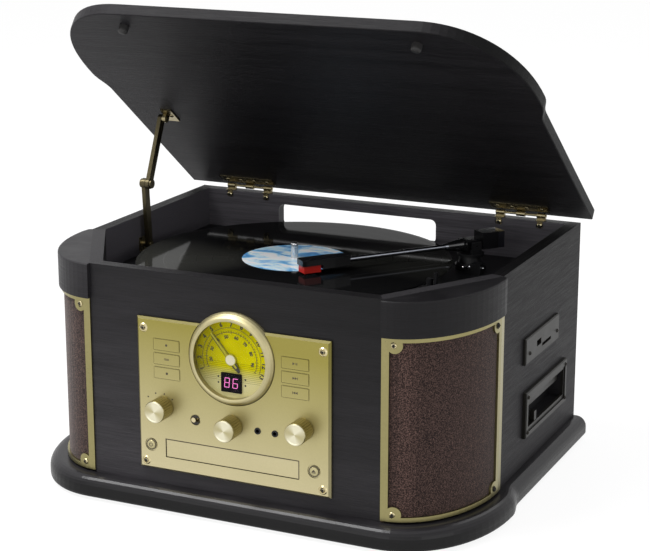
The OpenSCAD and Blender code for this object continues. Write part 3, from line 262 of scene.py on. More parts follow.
def stainedWood(name, along, lift=1.0, contrast=1.0, scaleAlong=26, scaleAcross=620):
    wood = Finish(name, coat=0.02, coatRoughness=0.3, specular=0.15)
    scale = tuple(scaleAlong if letter in along else scaleAcross for letter in "XYZ")
    streak = wood.noise(scale, 4, 0.6, 0.1)
    broad = wood.noise(tuple(s * 0.12 for s in scale), 3, 0.5, 0.3)
    pore = wood.noise(tuple(s * 2.0 for s in scale), 2, 0.6)
    tone = wood.range(streak * 0.6 + broad * 0.4, 0.34, 0.68, 0.5 - contrast / 2, 0.5 + contrast / 2)
    light = tuple(c * lift for c in woodLook["light"])
    dark = tuple(c * lift for c in woodLook["dark"])
    wood.hue = wood.blend(tone, dark, light)
    wood.feed("base", wood.hue)
    wood.feed("Roughness", wood.range(streak, 0.3, 0.7, 0.42, 0.56))
    wood.relief(wood.range(pore, 0.35, 0.6) * 0.7 + streak * 0.3, woodLook["pores"], 0.5)
    return wood


def metal(name, colour, rough, grain=(900, 900, 40), depth=0.00002, metallic=1.0, vary=0.12, shade=0.8):
    m = Finish(name, metallic=metallic)
    brushed = m.noise(grain, 2, 0.6)
    cloudy = m.noise((30, 30, 30), 3, 0.6)
    darker = tuple(c * shade for c in colour)
    m.feed("base", m.blend(m.range(brushed * 0.5 + cloudy * 0.5, 0.35, 0.65), darker, colour))
    m.feed("Roughness", m.range(brushed * 0.6 + cloudy * 0.4, 0.3, 0.7, rough - vary / 2, rough + vary / 2))
    m.relief(brushed, depth, 0.35)
    return m


def moulded(name, colour, rough, grain=1500, depth=0.00004, coat=0.0, specular=0.5):
    plastic = Finish(name, coat=coat, coatRoughness=0.08, specular=specular)
    grit = plastic.noise((grain, grain, grain), 2, 0.5)
    cloudy = plastic.noise((45, 45, 45), 3, 0.6)
    darker = tuple(c * 0.8 for c in colour)
    plastic.feed("base", plastic.blend(plastic.range(cloudy, 0.35, 0.65), darker, colour))
    plastic.feed("Roughness", plastic.range(cloudy * 0.5 + grit * 0.5, 0.3, 0.7, rough - 0.05, rough + 0.07))
    plastic.relief(grit, depth, 0.3)
    return plastic


def shadeWood(wood, *steps):  # painted light and shade: each step: letter, from, to, and the grey the wood is multiplied by at both ends
    for letter, start, end, first, last in steps:
        grey = wood.blend(wood.range(wood.axis(letter), start, end), (first,) * 3, (last,) * 3)
        wood.hue = wood.blend(1.0, wood.hue, grey, "MULTIPLY")
    wood.feed("base", wood.hue)


cabinetLow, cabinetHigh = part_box("side_panels")
woodFront = stainedWood("stainedWoodFront", "X")
# painted light and shade: the front board is lighter towards the bottom and darker towards the top and the right
shadeWood(woodFront, ("Z", cabinetLow.z, cabinetHigh.z, 2.1, 0.60), ("X", -0.07, 0.12, 1.0, 0.5))
woodBack = stainedWood("stainedWoodBack", "X")
backLow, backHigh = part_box("back_panel")
# painted light: the back board's inner face, in the cabinet's shade, is made seven times lighter
shadeWood(woodBack, ("Y", backLow.y + 0.5 * mm, backLow.y + 1.5 * mm, 7.0, 1.0))
# a darker copy of the same wood (lift 0.62): painted shade
woodAlong = stainedWood("stainedWoodAlong", "Y", 0.62, 0.4)
woodAlong.feed("coat", 0.0)
woodAlong.feed("specular", 0.08)
# painted light and shade: the side boards are lighter towards the bottom and darker towards the top
shadeWood(woodAlong, ("Z", cabinetLow.z, cabinetHigh.z, 1.9, 0.42))
# painted light: the side boards' inward faces get a much lighter grey
across = woodAlong.node("Math", {"operation": "ABSOLUTE"}, {0: woodAlong.axis("X")})
sideways = woodAlong.axis("X", woodAlong.node("TexCoord", output="Normal"))
facingIn = woodAlong.node("Math", {"operation": "ABSOLUTE"}, {0: sideways}) > 0.5
paintedLightInside = (across < cabinetHigh.x - 2 * mm) * facingIn
woodAlong.feed("base", woodAlong.blend(paintedLightInside, woodAlong.hue, (0.12, 0.113, 0.128)))
woodAround = stainedWood("stainedWoodAround", "XY")
# painted shade: the ear caps grow darker towards the right
shadeWood(woodAround, ("X", -0.05, 0.1, 1.0, 0.5))
# a darker copy of the same wood (lift 0.55): painted shade
woodPlinth = stainedWood("stainedWoodPlinth", "XY", 0.55)
woodPlinth.feed("coat", 0.35)
woodPlinth.feed("coatRoughness", 0.16)
woodPlinth.feed("specular", 0.05)
# painted light and shade: faces turned up are lighter, faces turned sideways are darker
upward = woodPlinth.axis("Z", woodPlinth.node("TexCoord", output="Normal"))
paintedTopLight = woodPlinth.blend(woodPlinth.range(upward, 0.1, 0.8), (0.3, 0.3, 0.3), (1.9, 1.9, 1.9))
woodPlinth.feed("base", woodPlinth.blend(1.0, woodPlinth.hue, paintedTopLight, "MULTIPLY"))
# a darker copy of the same wood (lift 0.6): painted shade
woodLid = stainedWood("stainedWoodLid", "X", 0.6)
woodLid.feed("coat", 0.0)
woodLid.feed("specular", 0.09)
# painted light and shade: the lid is lighter towards its left end, and faces turned to the right are made nearly black
lidFacing = woodLid.axis("X", woodLid.node("TexCoord", output="Normal"))
shadeWood(woodLid, ("X", -0.21, -0.09, 2.0, 1.0))
woodLid.feed("base", woodLid.blend(woodLid.range(lidFacing, 0.2, 0.7), woodLid.hue, (0.003, 0.003, 0.0032)))
wear(woodFront, "front_panel")
wear(woodBack, "back_panel")
wear(woodLid, "lid_board")
wear(woodAlong, "side_panels")
wear(woodAround, "ear_caps")
wear(woodPlinth, "plinth")
soften(0.8, "front_panel", "back_panel", "side_panels")

champagne = metal("champagnePanel", (0.63, 0.565, 0.335), 0.42, grain=(500, 500, 500), vary=0.05,
                  depth=0.000006, shade=0.93)
# painted shade: faces turned up or to the right, the top and right bevels, are darkened towards near black
facing = champagne.node("TexCoord", output="Normal")
tilted = champagne.range(champagne.axis("Z", facing), 0.25, 0.6, 0, 0.95) + champagne.range(
    champagne.axis("X", facing), 0.25, 0.6, 0, 0.5)
plateLow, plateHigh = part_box("faceplate")
# painted reflection: the panel runs from dark olive at the top to pale champagne at the bottom, a little darker to the
# right
across = champagne.range(champagne.axis("X"), plateLow.x, plateHigh.x)
down = champagne.range(champagne.axis("Z"), plateHigh.z, plateLow.z)
paintedReflectionSatin = champagne.blend(down * 1.05 - across * 0.14, (0.310, 0.268, 0.070), (0.58, 0.517, 0.315))
speck = champagne.blend(champagne.noise((900, 900, 900), 2), (0.92, 0.92, 0.92), (1.04, 1.04, 1.04))
paintedReflectionSatin = champagne.blend(1.0, paintedReflectionSatin, speck, "MULTIPLY")
champagne.feed("base", champagne.blend(tilted, paintedReflectionSatin, (0.05, 0.044, 0.02)))
champagneTrim = metal("champagneTrim", (0.50, 0.445, 0.25), 0.44, grain=(400, 400, 400), vary=0.06, shade=0.9)
brassFrame = metal("brassFrame", (0.30, 0.266, 0.122), 0.30, grain=(400, 400, 400), vary=0.08, shade=0.9)
agedBrass = metal("agedBrass", (0.095, 0.080, 0.045), 0.36, grain=(300, 300, 300), vary=0.2)
hingeBrass = metal("hingeBrass", (0.34, 0.29, 0.17), 0.3, grain=(300, 300, 300), vary=0.2)
brightBrass = metal("brightBrass", (0.66, 0.57, 0.34), 0.26, grain=(400, 400, 400))
polished = metal("polishedSteel", (0.70, 0.71, 0.73), 0.16, grain=(500, 500, 500), vary=0.06)
trayFinish = metal("champagneTray", (0.55, 0.49, 0.29), 0.42, grain=(500, 500, 500), vary=0.05, depth=0.000006,
                   shade=0.93)
bed = trayFinish.axis("Y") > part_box("cd_tray")[0].y + 2.6 * mm
trayFinish.feed("base", trayFinish.blend(bed, trayFinish.blend(
    trayFinish.noise((900, 900, 900), 2), (0.515, 0.458, 0.272), (0.575, 0.512, 0.304)), (0.012, 0.012, 0.013)))
trayFinish.feed("metallic", 1 - bed)
wear(trayFinish, "cd_tray")
wear(champagne, "faceplate", *[name for name in nodes if name.startswith("button_")])
wear(champagneTrim, "dial_bezel", "power_button", "tray_button")
wear(brassFrame, "grille_frames")
wear(agedBrass, "stay_lower_arm", "stay_upper_arm")
wear(hingeBrass, "wall_hardware", "lid_hardware", "spindle_bush", "motor_pulley")
wear(brightBrass, "band_switch")
screwFinish = metal("screwBrass", (0.66, 0.57, 0.34), 0.26, grain=(400, 400, 400))
onSide = screwFinish.axis("X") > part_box("side_panels")[1].x
screwFinish.feed("base", screwFinish.blend(onSide, (0.62, 0.54, 0.32), (0.020, 0.019, 0.018)))
wear(screwFinish, "screws")
wear(polished, "spindle", "motor", "cue_lever", "speed_switch")
soften(0.5, "faceplate", "stay_lower_arm", "stay_upper_arm", "cd_tray")
soften(1.0, "grille_frames")

# knobs: a turned face with a painted highlight gathered in two opposite wedges; the side is a darker copy of the same
# metal, painted shade
knobLook = dict(face=(0.74, 0.70, 0.52), dim=(0.46, 0.41, 0.23), side=(0.36, 0.31, 0.15), tilt=0.3)
for knob in ("selector_knob", "tuning_knob", "volume_knob"):
    low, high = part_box(knob)
    centre = (low + high) / 2
    spun = metal("spun" + knob.split("_")[0].capitalize(), knobLook["side"], 0.3, grain=(700, 700, 700),
                 vary=0.04)
    here = spun.place((1, 1, 1), tuple(centre))
    u, v = spun.axis("X", here), spun.axis("Z", here)
    around = spun.node("Math", {"operation": "ARCTAN2"}, {0: v, 1: u})
    wedge = spun.node("Math", {"operation": "COSINE"}, {0: (around + knobLook["tilt"]) * 2})
    shine = spun.blend(spun.range(wedge, -0.6, 1.0), knobLook["face"], knobLook["dim"])
    onFace = spun.axis("Y") < low.y + 0.9 * mm
    spun.feed("base", spun.blend(onFace, spun.blend(spun.noise((500, 500, 500)), tuple(
        c * 0.85 for c in knobLook["side"]), knobLook["side"]), shine))
    wear(spun, knob)

# pointer: dark arm, pale hub
pointerLow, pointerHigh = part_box("dial_pointer")
bezelLow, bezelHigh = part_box("dial_bezel")
hubAt = (bezelLow + bezelHigh) / 2
pointer = metal("pointerArm", (0.30, 0.27, 0.02), 0.4, grain=(600, 600, 600), metallic=0.3)
onHub = pointer.radius(hubAt, "XZ") < 4.6 * mm
pointer.feed("base", pointer.blend(onHub, (0.34, 0.31, 0.02), (0.60, 0.56, 0.40)))
wear(pointer, "dial_pointer")

# woven grille cloth: dark brown ground, paler flecks
clothLook = dict(ground=(0.0095, 0.0043, 0.0038), fleck=(0.135, 0.080, 0.066), pitch=1080, outer=1.9, band=1.5)
cloth = Finish("grilleCloth", roughness=0.85, sheen=0.15, sheenRoughness=0.45, specular=0.2)
fleck = cloth.noise((clothLook["pitch"],) * 3, 1.5, 0.6)
patch = cloth.noise((420, 420, 420), 3, 0.6)
woven = cloth.blend(cloth.range(fleck * 0.8 + patch * 0.2, 0.43, 0.72), clothLook["ground"], clothLook["fleck"])
# painted light: the cloth is up to 1.9 times lighter towards its left end
outer = cloth.range(cloth.axis("X"), -0.17, -0.2, 1.0, clothLook["outer"])
# painted highlight: a lighter upright band where the curved cloth turns partly to the right
turned = cloth.axis("X", cloth.node("TexCoord", output="Normal"))
paintedSheenBand = cloth.range(turned, 0.22, 0.4, 1.0, clothLook["band"])
paintedSheenBand = paintedSheenBand * cloth.range(turned, 0.42, 0.62, 1.0, 1 / clothLook["band"])
cloth.feed("base", cloth.node("VectorMath", {"operation": "MULTIPLY"}, {0: woven, 1: outer * paintedSheenBand}))
weave = cloth.node("TexWave", {"bands_direction": "Z"}, {"Vector": cloth.place((1, 1, 1)), "Scale": 260.0,
                                                       "Distortion": 1.5, "Detail": 1.0})
cloth.relief(weave * 0.3 + fleck * 0.7, 0.0006, 0.6)
wear(cloth, "grille_cloths")

blackSatin = moulded("blackSatin", (0.010, 0.010, 0.011), 0.38, specular=0.3)
blackGloss = moulded("blackGloss", (0.008, 0.008, 0.009), 0.2, coat=0.5)
bronze = moulded("bronzePaint", (0.012, 0.011, 0.0088), 0.38, grain=2500, specular=0.2)
rubber = moulded("rubber", (0.020, 0.020, 0.021), 0.75)
greyRubber = moulded("greyRubber", (0.014, 0.013, 0.013), 0.6)
red = moulded("redPlastic", (0.70, 0.020, 0.012), 0.3, coat=0.3, specular=0.3)
driverPaint = moulded("driverPaint", (0.022, 0.022, 0.024), 0.45)
wear(blackSatin, "deck_plate", "tonearm_base", "tonearm_turret", "sockets", "cassette_mechanism")
wear(blackGloss, "headshell")
turretLow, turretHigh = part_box("tonearm_turret")
armFinish = moulded("blackGlossArm", (0.008, 0.008, 0.009), 0.2, coat=0.5)
onTube = armFinish.radius((turretLow + turretHigh) / 2) > 27 * mm
armFinish.feed("base", armFinish.blend(onTube, (0.008, 0.008, 0.009), (0.22, 0.23, 0.26)))
armFinish.feed("metallic", onTube)
wear(armFinish, "tonearm")
wear(bronze, "port_plate", "cassette_frame", "cassette_flap", "cassette_key")
wear(rubber, "rubber_feet", "drive_belt")
wear(greyRubber, "lid_bumpers")
wear(red, "cartridge")
wear(driverPaint, "speaker_drivers", "cd_mechanism")

# the baffles are raw board, stained like the cabinet along their top edge
baffle = Finish("stainedBaffle", roughness=0.6, specular=0.25)
fibre = baffle.noise((700, 700, 700), 3, 0.6)
raw = baffle.blend(baffle.range(fibre, 0.35, 0.65), (0.16, 0.10, 0.055), (0.26, 0.17, 0.09))
stained = baffle.blend(baffle.range(fibre, 0.35, 0.65), woodLook["dark"], woodLook["light"])
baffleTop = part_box("speaker_baffles")[1].z
baffle.feed("base", baffle.blend(baffle.axis("Z") > baffleTop - 44 * mm, raw, stained))
wear(baffle, "speaker_baffles")

circuit = Finish("circuitBoard", roughness=0.5)
traces = circuit.node("TexVoronoi", {"feature": "DISTANCE_TO_EDGE"}, {"Vector": circuit.place((140, 140, 140)),
                                                                     "Scale": 1.0})
circuit.feed("base", circuit.blend(circuit.range(traces, 0.02, 0.06), (0.05, 0.16, 0.07), (0.012, 0.07, 0.028)))
wear(circuit, "electronics")

# record: shallow grooves in bands with a clear gap between tracks
spindleAt = (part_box("spindle")[0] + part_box("spindle")[1]) / 2
vinylLook = dict(groove=14000, trackWidth=0.0155, gap=0.035)
vinyl = Finish("vinyl", base=(0.005, 0.005, 0.0055), specular=0.4)
fromSpindle = vinyl.radius(spindleAt)
groove = vinyl.node("Math", {"operation": "SINE"}, {0: fromSpindle * vinylLook["groove"]})
track = vinyl.node("Math", {"operation": "FRACT"}, {0: fromSpindle / vinylLook["trackWidth"]})
cut = (track > vinylLook["gap"]) * (fromSpindle > 0.057) * (fromSpindle < 0.146)
vinyl.feed("Roughness", cut * 0.035 + vinyl.noise((40, 40, 40)) * 0.02 + 0.02)
vinyl.relief(groove * cut, 0.000001, 0.1)
# painted highlight: a lighter wedge and the one opposite it in the record's diffuse colour
aroundSpindle = vinyl.place((1, 1, 1), tuple(spindleAt))
bearing = vinyl.node("Math", {"operation": "ARCTAN2"},
                     {0: vinyl.axis("Y", aroundSpindle), 1: vinyl.axis("X", aroundSpindle)})
sector = vinyl.node("Math", {"operation": "COSINE"}, {0: (bearing - 0.45) * 2})
gleam = vinyl.blend(vinyl.range(sector, 0.2, 1.0), (0.006, 0.006, 0.0062), (0.034, 0.034, 0.030))
paintedGleamDiffuse = vinyl.node("BsdfDiffuse", None, {"Color": gleam})
glossy = Signal(vinyl.tree, vinyl.shader.outputs[0])
dulled = vinyl.node("MixShader", None, {0: cut * 0.12 + 0.6, 1: glossy, 2: paintedGleamDiffuse})
vinyl.tree.links.new(dulled.socket, vinyl.tree.nodes["Material Output"].inputs[0])
wear(vinyl, "record")

mat = moulded("ribbedMat", (0.018, 0.018, 0.019), 0.6)
mat.relief(mat.node("Math", {"operation": "SINE"}, {0: mat.radius(spindleAt) * 1500}), 0.0004, 0.8)
wear(mat, "platter")

# label: soft pale blue marbling
label = Finish("labelPaper", roughness=0.35, coat=0.2)
wash = label.noise((34, 52, 34), 4, 0.55, 0.9)
mottled = label.noise((90, 60, 60), 3, 0.5, 0.3, shift=(0.3, 0.1, 0))
sky = label.ramp(wash, (0.36, (0.05, 0.27, 0.62)), (0.45, (0.16, 0.50, 0.86)), (0.52, (0.62, 0.84, 0.97)),
                 (0.60, (0.97, 0.98, 0.99)))
tinted = label.blend(label.range(mottled, 0.58, 0.72, 0, 0.6), sky, (0.95, 0.95, 0.93))
label.feed("base", tinted)
# painted light: the label glows faintly in its own colours
label.feed("glow", tinted)
label.feed("glowStrength", 0.13)
wear(label, "record_label")

# dial: lit yellow above, fading through fine lines to cream below
dialLow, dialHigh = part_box("dial_plate")
dialCentre = (dialLow + dialHigh) / 2
dialFront = dialLow.y
dialLook = dict(yellow=(0.50, 0.455, 0.0010), deep=(0.41, 0.365, 0.0008), cream=(0.51, 0.47, 0.235),
                line=(0.10, 0.09, 0.003), lineTop=-0.002, lineEnd=-0.021, fadeEnd=-0.019, pitch=0.00165)
dial = Finish("dialPrint", roughness=0.7, glowStrength=0.12, specular=0.03)
height = dial.axis("Z") - dialCentre.z
rule = dial.node("Math", {"operation": "FRACT"}, {0: height / dialLook["pitch"]}) < 0.3
zone = (height < dialLook["lineTop"]) * (height > dialLook["lineEnd"])
hue = dial.blend(dial.range(dial.noise((60, 60, 60), 3), 0.3, 0.7), dialLook["deep"], dialLook["yellow"])
hue = dial.blend(dial.range(height, dialLook["fadeEnd"], -0.007, 1, 0), hue, dialLook["cream"])
hue = dial.blend(rule * zone * 0.55, hue, dialLook["line"])
# painted shadow: darker olive towards the left and the top, where the bezel shades the dial
shade = dial.range(dial.axis("X") - dialCentre.x, -0.034, -0.004, 0.72, 0)
shade = shade + dial.range(height, 0.016, 0.036, 0, 0.3)
hue = dial.blend(shade, hue, (0.10, 0.085, 0.004))
dial.feed("base", hue)
dial.feed("glow", hue)
wear(dial, "dial_plate")

# ink for print, also carrying painted shade: the band switch's well and the screw heads' crosses
inkAndShade = moulded("printInkAndShade", (0.022, 0.018, 0.012), 0.6)
# dark ink for panel print, also carrying painted shade: the tray's shadow and the rings round the round buttons
darkInkAndShade = moulded("panelInkAndShade", (0.055, 0.042, 0.025), 0.6)

window = moulded("displayWindow", (0.003, 0.001, 0.003), 0.12, specular=0.08)
wear(window, "display_window")
lit = Finish("litSegments", base=(0.3, 0.03, 0.18), roughness=0.4, glowStrength=1.0)
flicker = lit.range(lit.noise((500, 500, 500)), 0.3, 0.7)
lit.feed("glow", lit.blend(flicker, (0.80, 0.16, 0.50), (0.90, 0.30, 0.64)))

glass = Finish("dialGlass", base=(0.2, 0.2, 0.15), specular=0.35)
glass.feed("Roughness", glass.range(glass.noise((60, 60, 60)), 0.3, 0.7, 0.02, 0.05))
glass.feed("alpha", glass.range(glass.noise((25, 25, 25)), 0.3, 0.7, 0.004, 0.009))
wear(glass, "dial_glass")
print("finishes on", len(nodes), "parts")

# dial print and display digits
dialPrint = dict(thick=0.06, outer=28.6, inner=24.6, band=27, line=0.42, numbers=31.4, numberSize=5.6,
                 small=20.2, smallSize=4.0, start=202, sweep=224)


def onDial(u, v, d):
    return Vector((dialCentre.x + u * mm, dialFront - 0.00002 - d * mm, dialCentre.z + v * mm))


def dialMarks(p):
    parts, steps = [], 56
    for radius in (p["outer"], p["inner"]):
        angles = [math.radians(p["start"] - p["sweep"] * i / steps) for i in range(steps + 1)]
        outline = [(radius * math.cos(a), radius * math.sin(a)) for a in angles]
        outline += [((radius - p["line"]) * math.cos(a), (radius - p["line"]) * math.sin(a)) for a in reversed(angles)]
        count = len(angles)
        points = [onDial(u, v, d) for d in (0, p["thick"]) for u, v in outline]
        total = 2 * count
        faces = [(i, i + 1, total - 2 - i, total - 1 - i) for i in range(count - 1)]
        faces += [(total + i, 2 * total - 1 - i, 2 * total - 2 - i, total + i + 1) for i in range(count - 1)]
        faces += [(i, (i + 1) % total, (i + 1) % total + total, i + total) for i in range(total)]
        parts.append((points, faces))
    for i in range(41):
        angle = math.radians(p["start"] - p["sweep"] * i / 40)
        low, high = (p["inner"] - 1.6, p["band"] - 1) if i % 4 == 0 else (p["inner"] - 0.2, p["band"] - 1.4)
        tick = [(math.cos(angle) * r - math.sin(angle) * w, math.sin(angle) * r + math.cos(angle) * w)
                for r, w in ((low, -0.22), (high, -0.22), (high, 0.22), (low, 0.22))]
        parts.append(slabOf(tick, p["thick"], onDial))
    for u in (-13.2, 13.2):
        for v in (-16.8, -22.2):
            parts.append(slabOf(disc(u, v, 0.9), p["thick"], onDial))
    return gather(parts)


def dialNumbers(p):
    def at(text, radius, angle, size):
        return text, radius * math.cos(angle), radius * math.sin(angle), size, angle - math.pi / 2

    items = []
    for i, text in enumerate(("1", "2", "3", "4", "5", "6", "7", "8", "9", "10", "11", "12", "13")):
        angle = math.radians(p["start"] - p["sweep"] * i / 12)
        items.append(at(text, p["numbers"], angle, p["numberSize"]))
    for i, text in enumerate(("20", "30", "40", "50", "60", "70", "80", "90")):
        angle = math.radians(186 - 192 * i / 7)
        items.append(at(text, p["small"], angle, p["smallSize"]))
    return glyphs(items, p["thick"], onDial)


addPiece("dialMarks", *dialMarks(dialPrint), inkAndShade, "cabinet", "dial")
addPiece("dialNumbers", *dialNumbers(dialPrint), inkAndShade, "cabinet", "dial")

displayLow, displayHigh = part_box("display_window")
digitLook = dict(width=4.4, height=8.4, stroke=0.55, spacing=8.0, lean=0.08, thick=0.12)


def segments(figure, centreU):
    d = digitLook
    w, h, s = d["width"] / 2, d["height"] / 2, d["stroke"] / 2
    places = dict(a=(-w, w, h - s, h + s), g=(-w, w, -s, s), d=(-w, w, -h - s, -h + s),
                  f=(-w - s, -w + s, s, h - s), b=(w - s, w + s, s, h - s),
                  e=(-w - s, -w + s, -h + s, -s), c=(w - s, w + s, -h + s, -s))
    shown = {"1": "bc", "4": "fgbc", "0": "abcdef", "8": "abcdefg", "6": "acdefg", "5": "afgcd"}[figure]
    made = []
    for letter in shown:
        u0, u1, v0, v1 = places[letter]
        upright = letter in "bcef"
        cutBack = 0.35
        if upright:
            outline = [(u0, v0 + cutBack), ((u0 + u1) / 2, v0 - cutBack), (u1, v0 + cutBack),
                       (u1, v1 - cutBack),
                       ((u0 + u1) / 2, v1 + cutBack), (u0, v1 - cutBack)]
        else:
            outline = [(u0 + cutBack, v0), (u1 - cutBack, v0), (u1 + cutBack, (v0 + v1) / 2),
                       (u1 - cutBack, v1),
                       (u0 + cutBack, v1), (u0 - cutBack, (v0 + v1) / 2)]
        made.append([(centreU + u + v * d["lean"], v) for u, v in outline])
    return made


def onDisplay(u, v, depth):
    middle = (displayLow + displayHigh) / 2
    return Vector((middle.x + u * mm, displayLow.y - 0.00002 - depth * mm, middle.z + v * mm))


digits = [outline for figure, side in (("8", -1), ("6", 1))
          for outline in segments(figure, side * digitLook["spacing"] / 2)]
addPrint("displayDigits", digits, digitLook["thick"], onDisplay, lit, "cabinet", "display")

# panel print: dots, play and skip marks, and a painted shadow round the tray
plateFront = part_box("faceplate")[0].y


def onFront(faceY):
    return lambda u, v, depth: Vector((u * mm, faceY - 0.00002 - depth * mm, plinthTop + v * mm))


printThick = 0.06
selectorDots = [(-82, 82), (-74.3, 86.2), (-65.5, 86.6), (-57.5, 82.6)]
dots = [disc(u, v, 0.75) for u, v in selectorDots]
addPrint("selectorDots", dots, printThick, onFront(plateFront), darkInkAndShade, "cabinet", "gold_panel")

# painted shadow: dark strips along the tray's top and right edges and its lower left
trayLow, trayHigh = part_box("cd_tray")
trayLook = dict(top=0.75, side=0.7, bottom=0.35)
u0, u1 = trayLow.x / mm, trayHigh.x / mm
v0, v1 = (trayLow.z - plinthTop) / mm, (trayHigh.z - plinthTop) / mm
shadow = [bar(u0, u1 + trayLook["side"], v1, v1 + trayLook["top"]), bar(u1, u1 + trayLook["side"], v0, v1),
          bar(u0 - trayLook["bottom"], u0, v0, v1 + trayLook["top"])]
addPrint("trayShadow", shadow, printThick, onFront(plateFront), darkInkAndShade, "cabinet", "gold_panel")


def triangle(u, v, size, way=1):
    back, tip, rise = u - way * size * 0.5, u + way * size * 0.5, size * 0.55
    return [(back, v - rise), (tip, v), (back, v + rise)]


marks = {
    "button_right_top": lambda u, v: [triangle(u - 1.2, v, 2.2), bar(u + 0.6, u + 1.1, v - 1.1, v + 1.1),
                                      bar(u + 1.6, u + 2.1, v - 1.1, v + 1.1)],
    "button_right_middle": lambda u, v: [triangle(u - 1.3, v, 2.2), triangle(u + 0.9, v, 2.2),
                                         bar(u + 2.1, u + 2.6, v - 1.1, v + 1.1)],
    "button_right_bottom": lambda u, v: [triangle(u - 0.9, v, 2.2, -1), triangle(u + 1.3, v, 2.2, -1),
                                         bar(u - 2.6, u - 2.1, v - 1.1, v + 1.1)],
    "button_left_top": lambda u, v: [disc(u, v, 1.1)],
    "button_left_middle": lambda u, v: [bar(u - 2.4, u + 2.4, v + 0.25, v + 0.75),
                                        bar(u - 2.4, u + 2.4, v - 0.75, v - 0.25)],
    "button_left_bottom": lambda u, v: [bar(u - 1, u + 1, v - 1, v + 1)],
}
bodyOf = {node: body for body, names in frame["record"]["behaviour"]["bodies"].items() for node in names}
for node, draw in marks.items():
    low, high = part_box(node)
    u, v = (low.x + high.x) / 2 / mm, ((low.z + high.z) / 2 - plinthTop) / mm
    addPrint(node.replace("button", "mark"), draw(u, v), printThick, onFront(low.y), darkInkAndShade, bodyOf[node],
             "gold_panel")


def ringOf(u, v, outer, inner, steps=40, start=0.0, sweep=2 * math.pi):  # quads of a flat ring or arc
    turns = [start + sweep * i / steps for i in range(steps + 1)]
    rim = [(math.cos(a), math.sin(a)) for a in turns]
    return [[(u + inner * c, v + inner * d), (u + outer * c, v + outer * d),
             (u + outer * e, v + outer * f), (u + inner * e, v + inner * f)]
            for (c, d), (e, f) in zip(rim, rim[1:])]


# round buttons: a dark ring round each, painted shade of the groove round the button; power and eject symbols on them
roundLook = dict(symbol=1.9, line=0.5, ringOut=1.1, ringIn=0.4)
for node, kind in (("power_button", "power"), ("tray_button", "eject")):
    low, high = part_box(node)
    u, v = (low.x + high.x) / 2 / mm, ((low.z + high.z) / 2 - plinthTop) / mm
    radius = (high.x - low.x) / 2 / mm
    ring = ringOf(u, v, radius + roundLook["ringOut"], radius + roundLook["ringIn"])
    addPrint(kind + "Ring", ring, printThick, onFront(plateFront), darkInkAndShade, "cabinet", "gold_panel")
    size, line = roundLook["symbol"], roundLook["line"]
    if kind == "power":
        shapes = ringOf(u, v, size, size - line, 24, math.radians(125), math.radians(290))
        shapes.append(bar(u - line / 2, u + line / 2, v + 0.2, v + size + 0.4))
    else:
        shapes = [[(u - size, v - 0.3), (u + size, v - 0.3), (u, v + size)],
                  bar(u - size, u + size, v - 1.3, v - 0.7)]
    addPrint(kind + "Symbol", shapes, printThick, onFront(low.y), darkInkAndShade, bodyOf[node], "gold_trim")

# pointer: two dark edges beside the arm and a tapering tail
reach = pointerLow + pointerHigh - 2 * hubAt  # the arm is longer than the tail, so this points along it
pointerTilt = math.atan2(reach.z, reach.x)
vane = dict(near=4.6, far=27.0, wide=(2.3, 1.7), line=0.55, tail=(5.0, 13.5), tailWide=(2.8, 1.3),
            thick=0.2)
along = Vector((math.cos(pointerTilt), math.sin(pointerTilt)))
beside = Vector((-along.y, along.x))


def onVane(r, w):
    place = along * r + beside * w
    return place.x + hubAt.x / mm, place.y + (hubAt.z - plinthTop) / mm


vaneY = dialFront - 2 * mm
edges = [[onVane(vane["near"], s * vane["wide"][0]), onVane(vane["far"], s * vane["wide"][1]),
          onVane(vane["far"], s * (vane["wide"][1] - vane["line"])),
          onVane(vane["near"], s * (vane["wide"][0] - vane["line"]))] for s in (-1, 1)]
tail = [[onVane(-vane["tail"][0], -vane["tailWide"][0]), onVane(-vane["tail"][0], vane["tailWide"][0]),
         onVane(-vane["tail"][1], vane["tailWide"][1]), onVane(-vane["tail"][1], -vane["tailWide"][1])]]
addPrint("pointerEdges", edges + tail, vane["thick"], onFront(vaneY), inkAndShade, "pointer", "steel")

# band switch: a dark well round the slider, painted shade of its recess, and a bright round cap on it
bandLook = dict(shift=1.5, well=4.4, cap=2.2, capThick=0.5)
bandLow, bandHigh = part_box("band_switch")
bandU, bandV = (bandLow.x + bandHigh.x) / 2 / mm, ((bandLow.z + bandHigh.z) / 2 - plinthTop) / mm
wellU, wellR = bandU + bandLook["shift"], bandLook["well"]
halfTurn = [math.radians(d) for d in range(25, 156, 10)]
well = [[(wellU + wellR * math.cos(a), bandV + s * wellR * math.sin(a)) for a in halfTurn] for s in (-1, 1)]
addPrint("bandWell", well, printThick, onFront(plateFront), inkAndShade, "cabinet", "gold_panel")
addPrint("bandCap", [disc(bandU, bandV, bandLook["cap"])], bandLook["capThick"], onFront(bandLow.y), brightBrass,
         "band", "steel")

# dark crosses on every screw head, painted shade of the cross recess
slotLook = dict(arm=0.62, width=0.24, lift=0.03, depth=0.25)
boxFaces = [(0, 1, 2, 3), (7, 6, 5, 4), (0, 1, 5, 4), (1, 2, 6, 5), (2, 3, 7, 6), (3, 0, 4, 7)]


def islands(mesh):  # vertex groups joined by edges
    near = [[] for _ in mesh.vertices]
    for edge in mesh.edges:
        first, second = edge.vertices
        near[first].append(second)
        near[second].append(first)
    left, groups = set(range(len(near))), []
    while left:
        waiting, group = [left.pop()], []
        while waiting:
            here = waiting.pop()
            group.append(here)
            fresh = [i for i in near[here] if i in left]
            left.difference_update(fresh)
            waiting += fresh
        groups.append(group)
    return groups


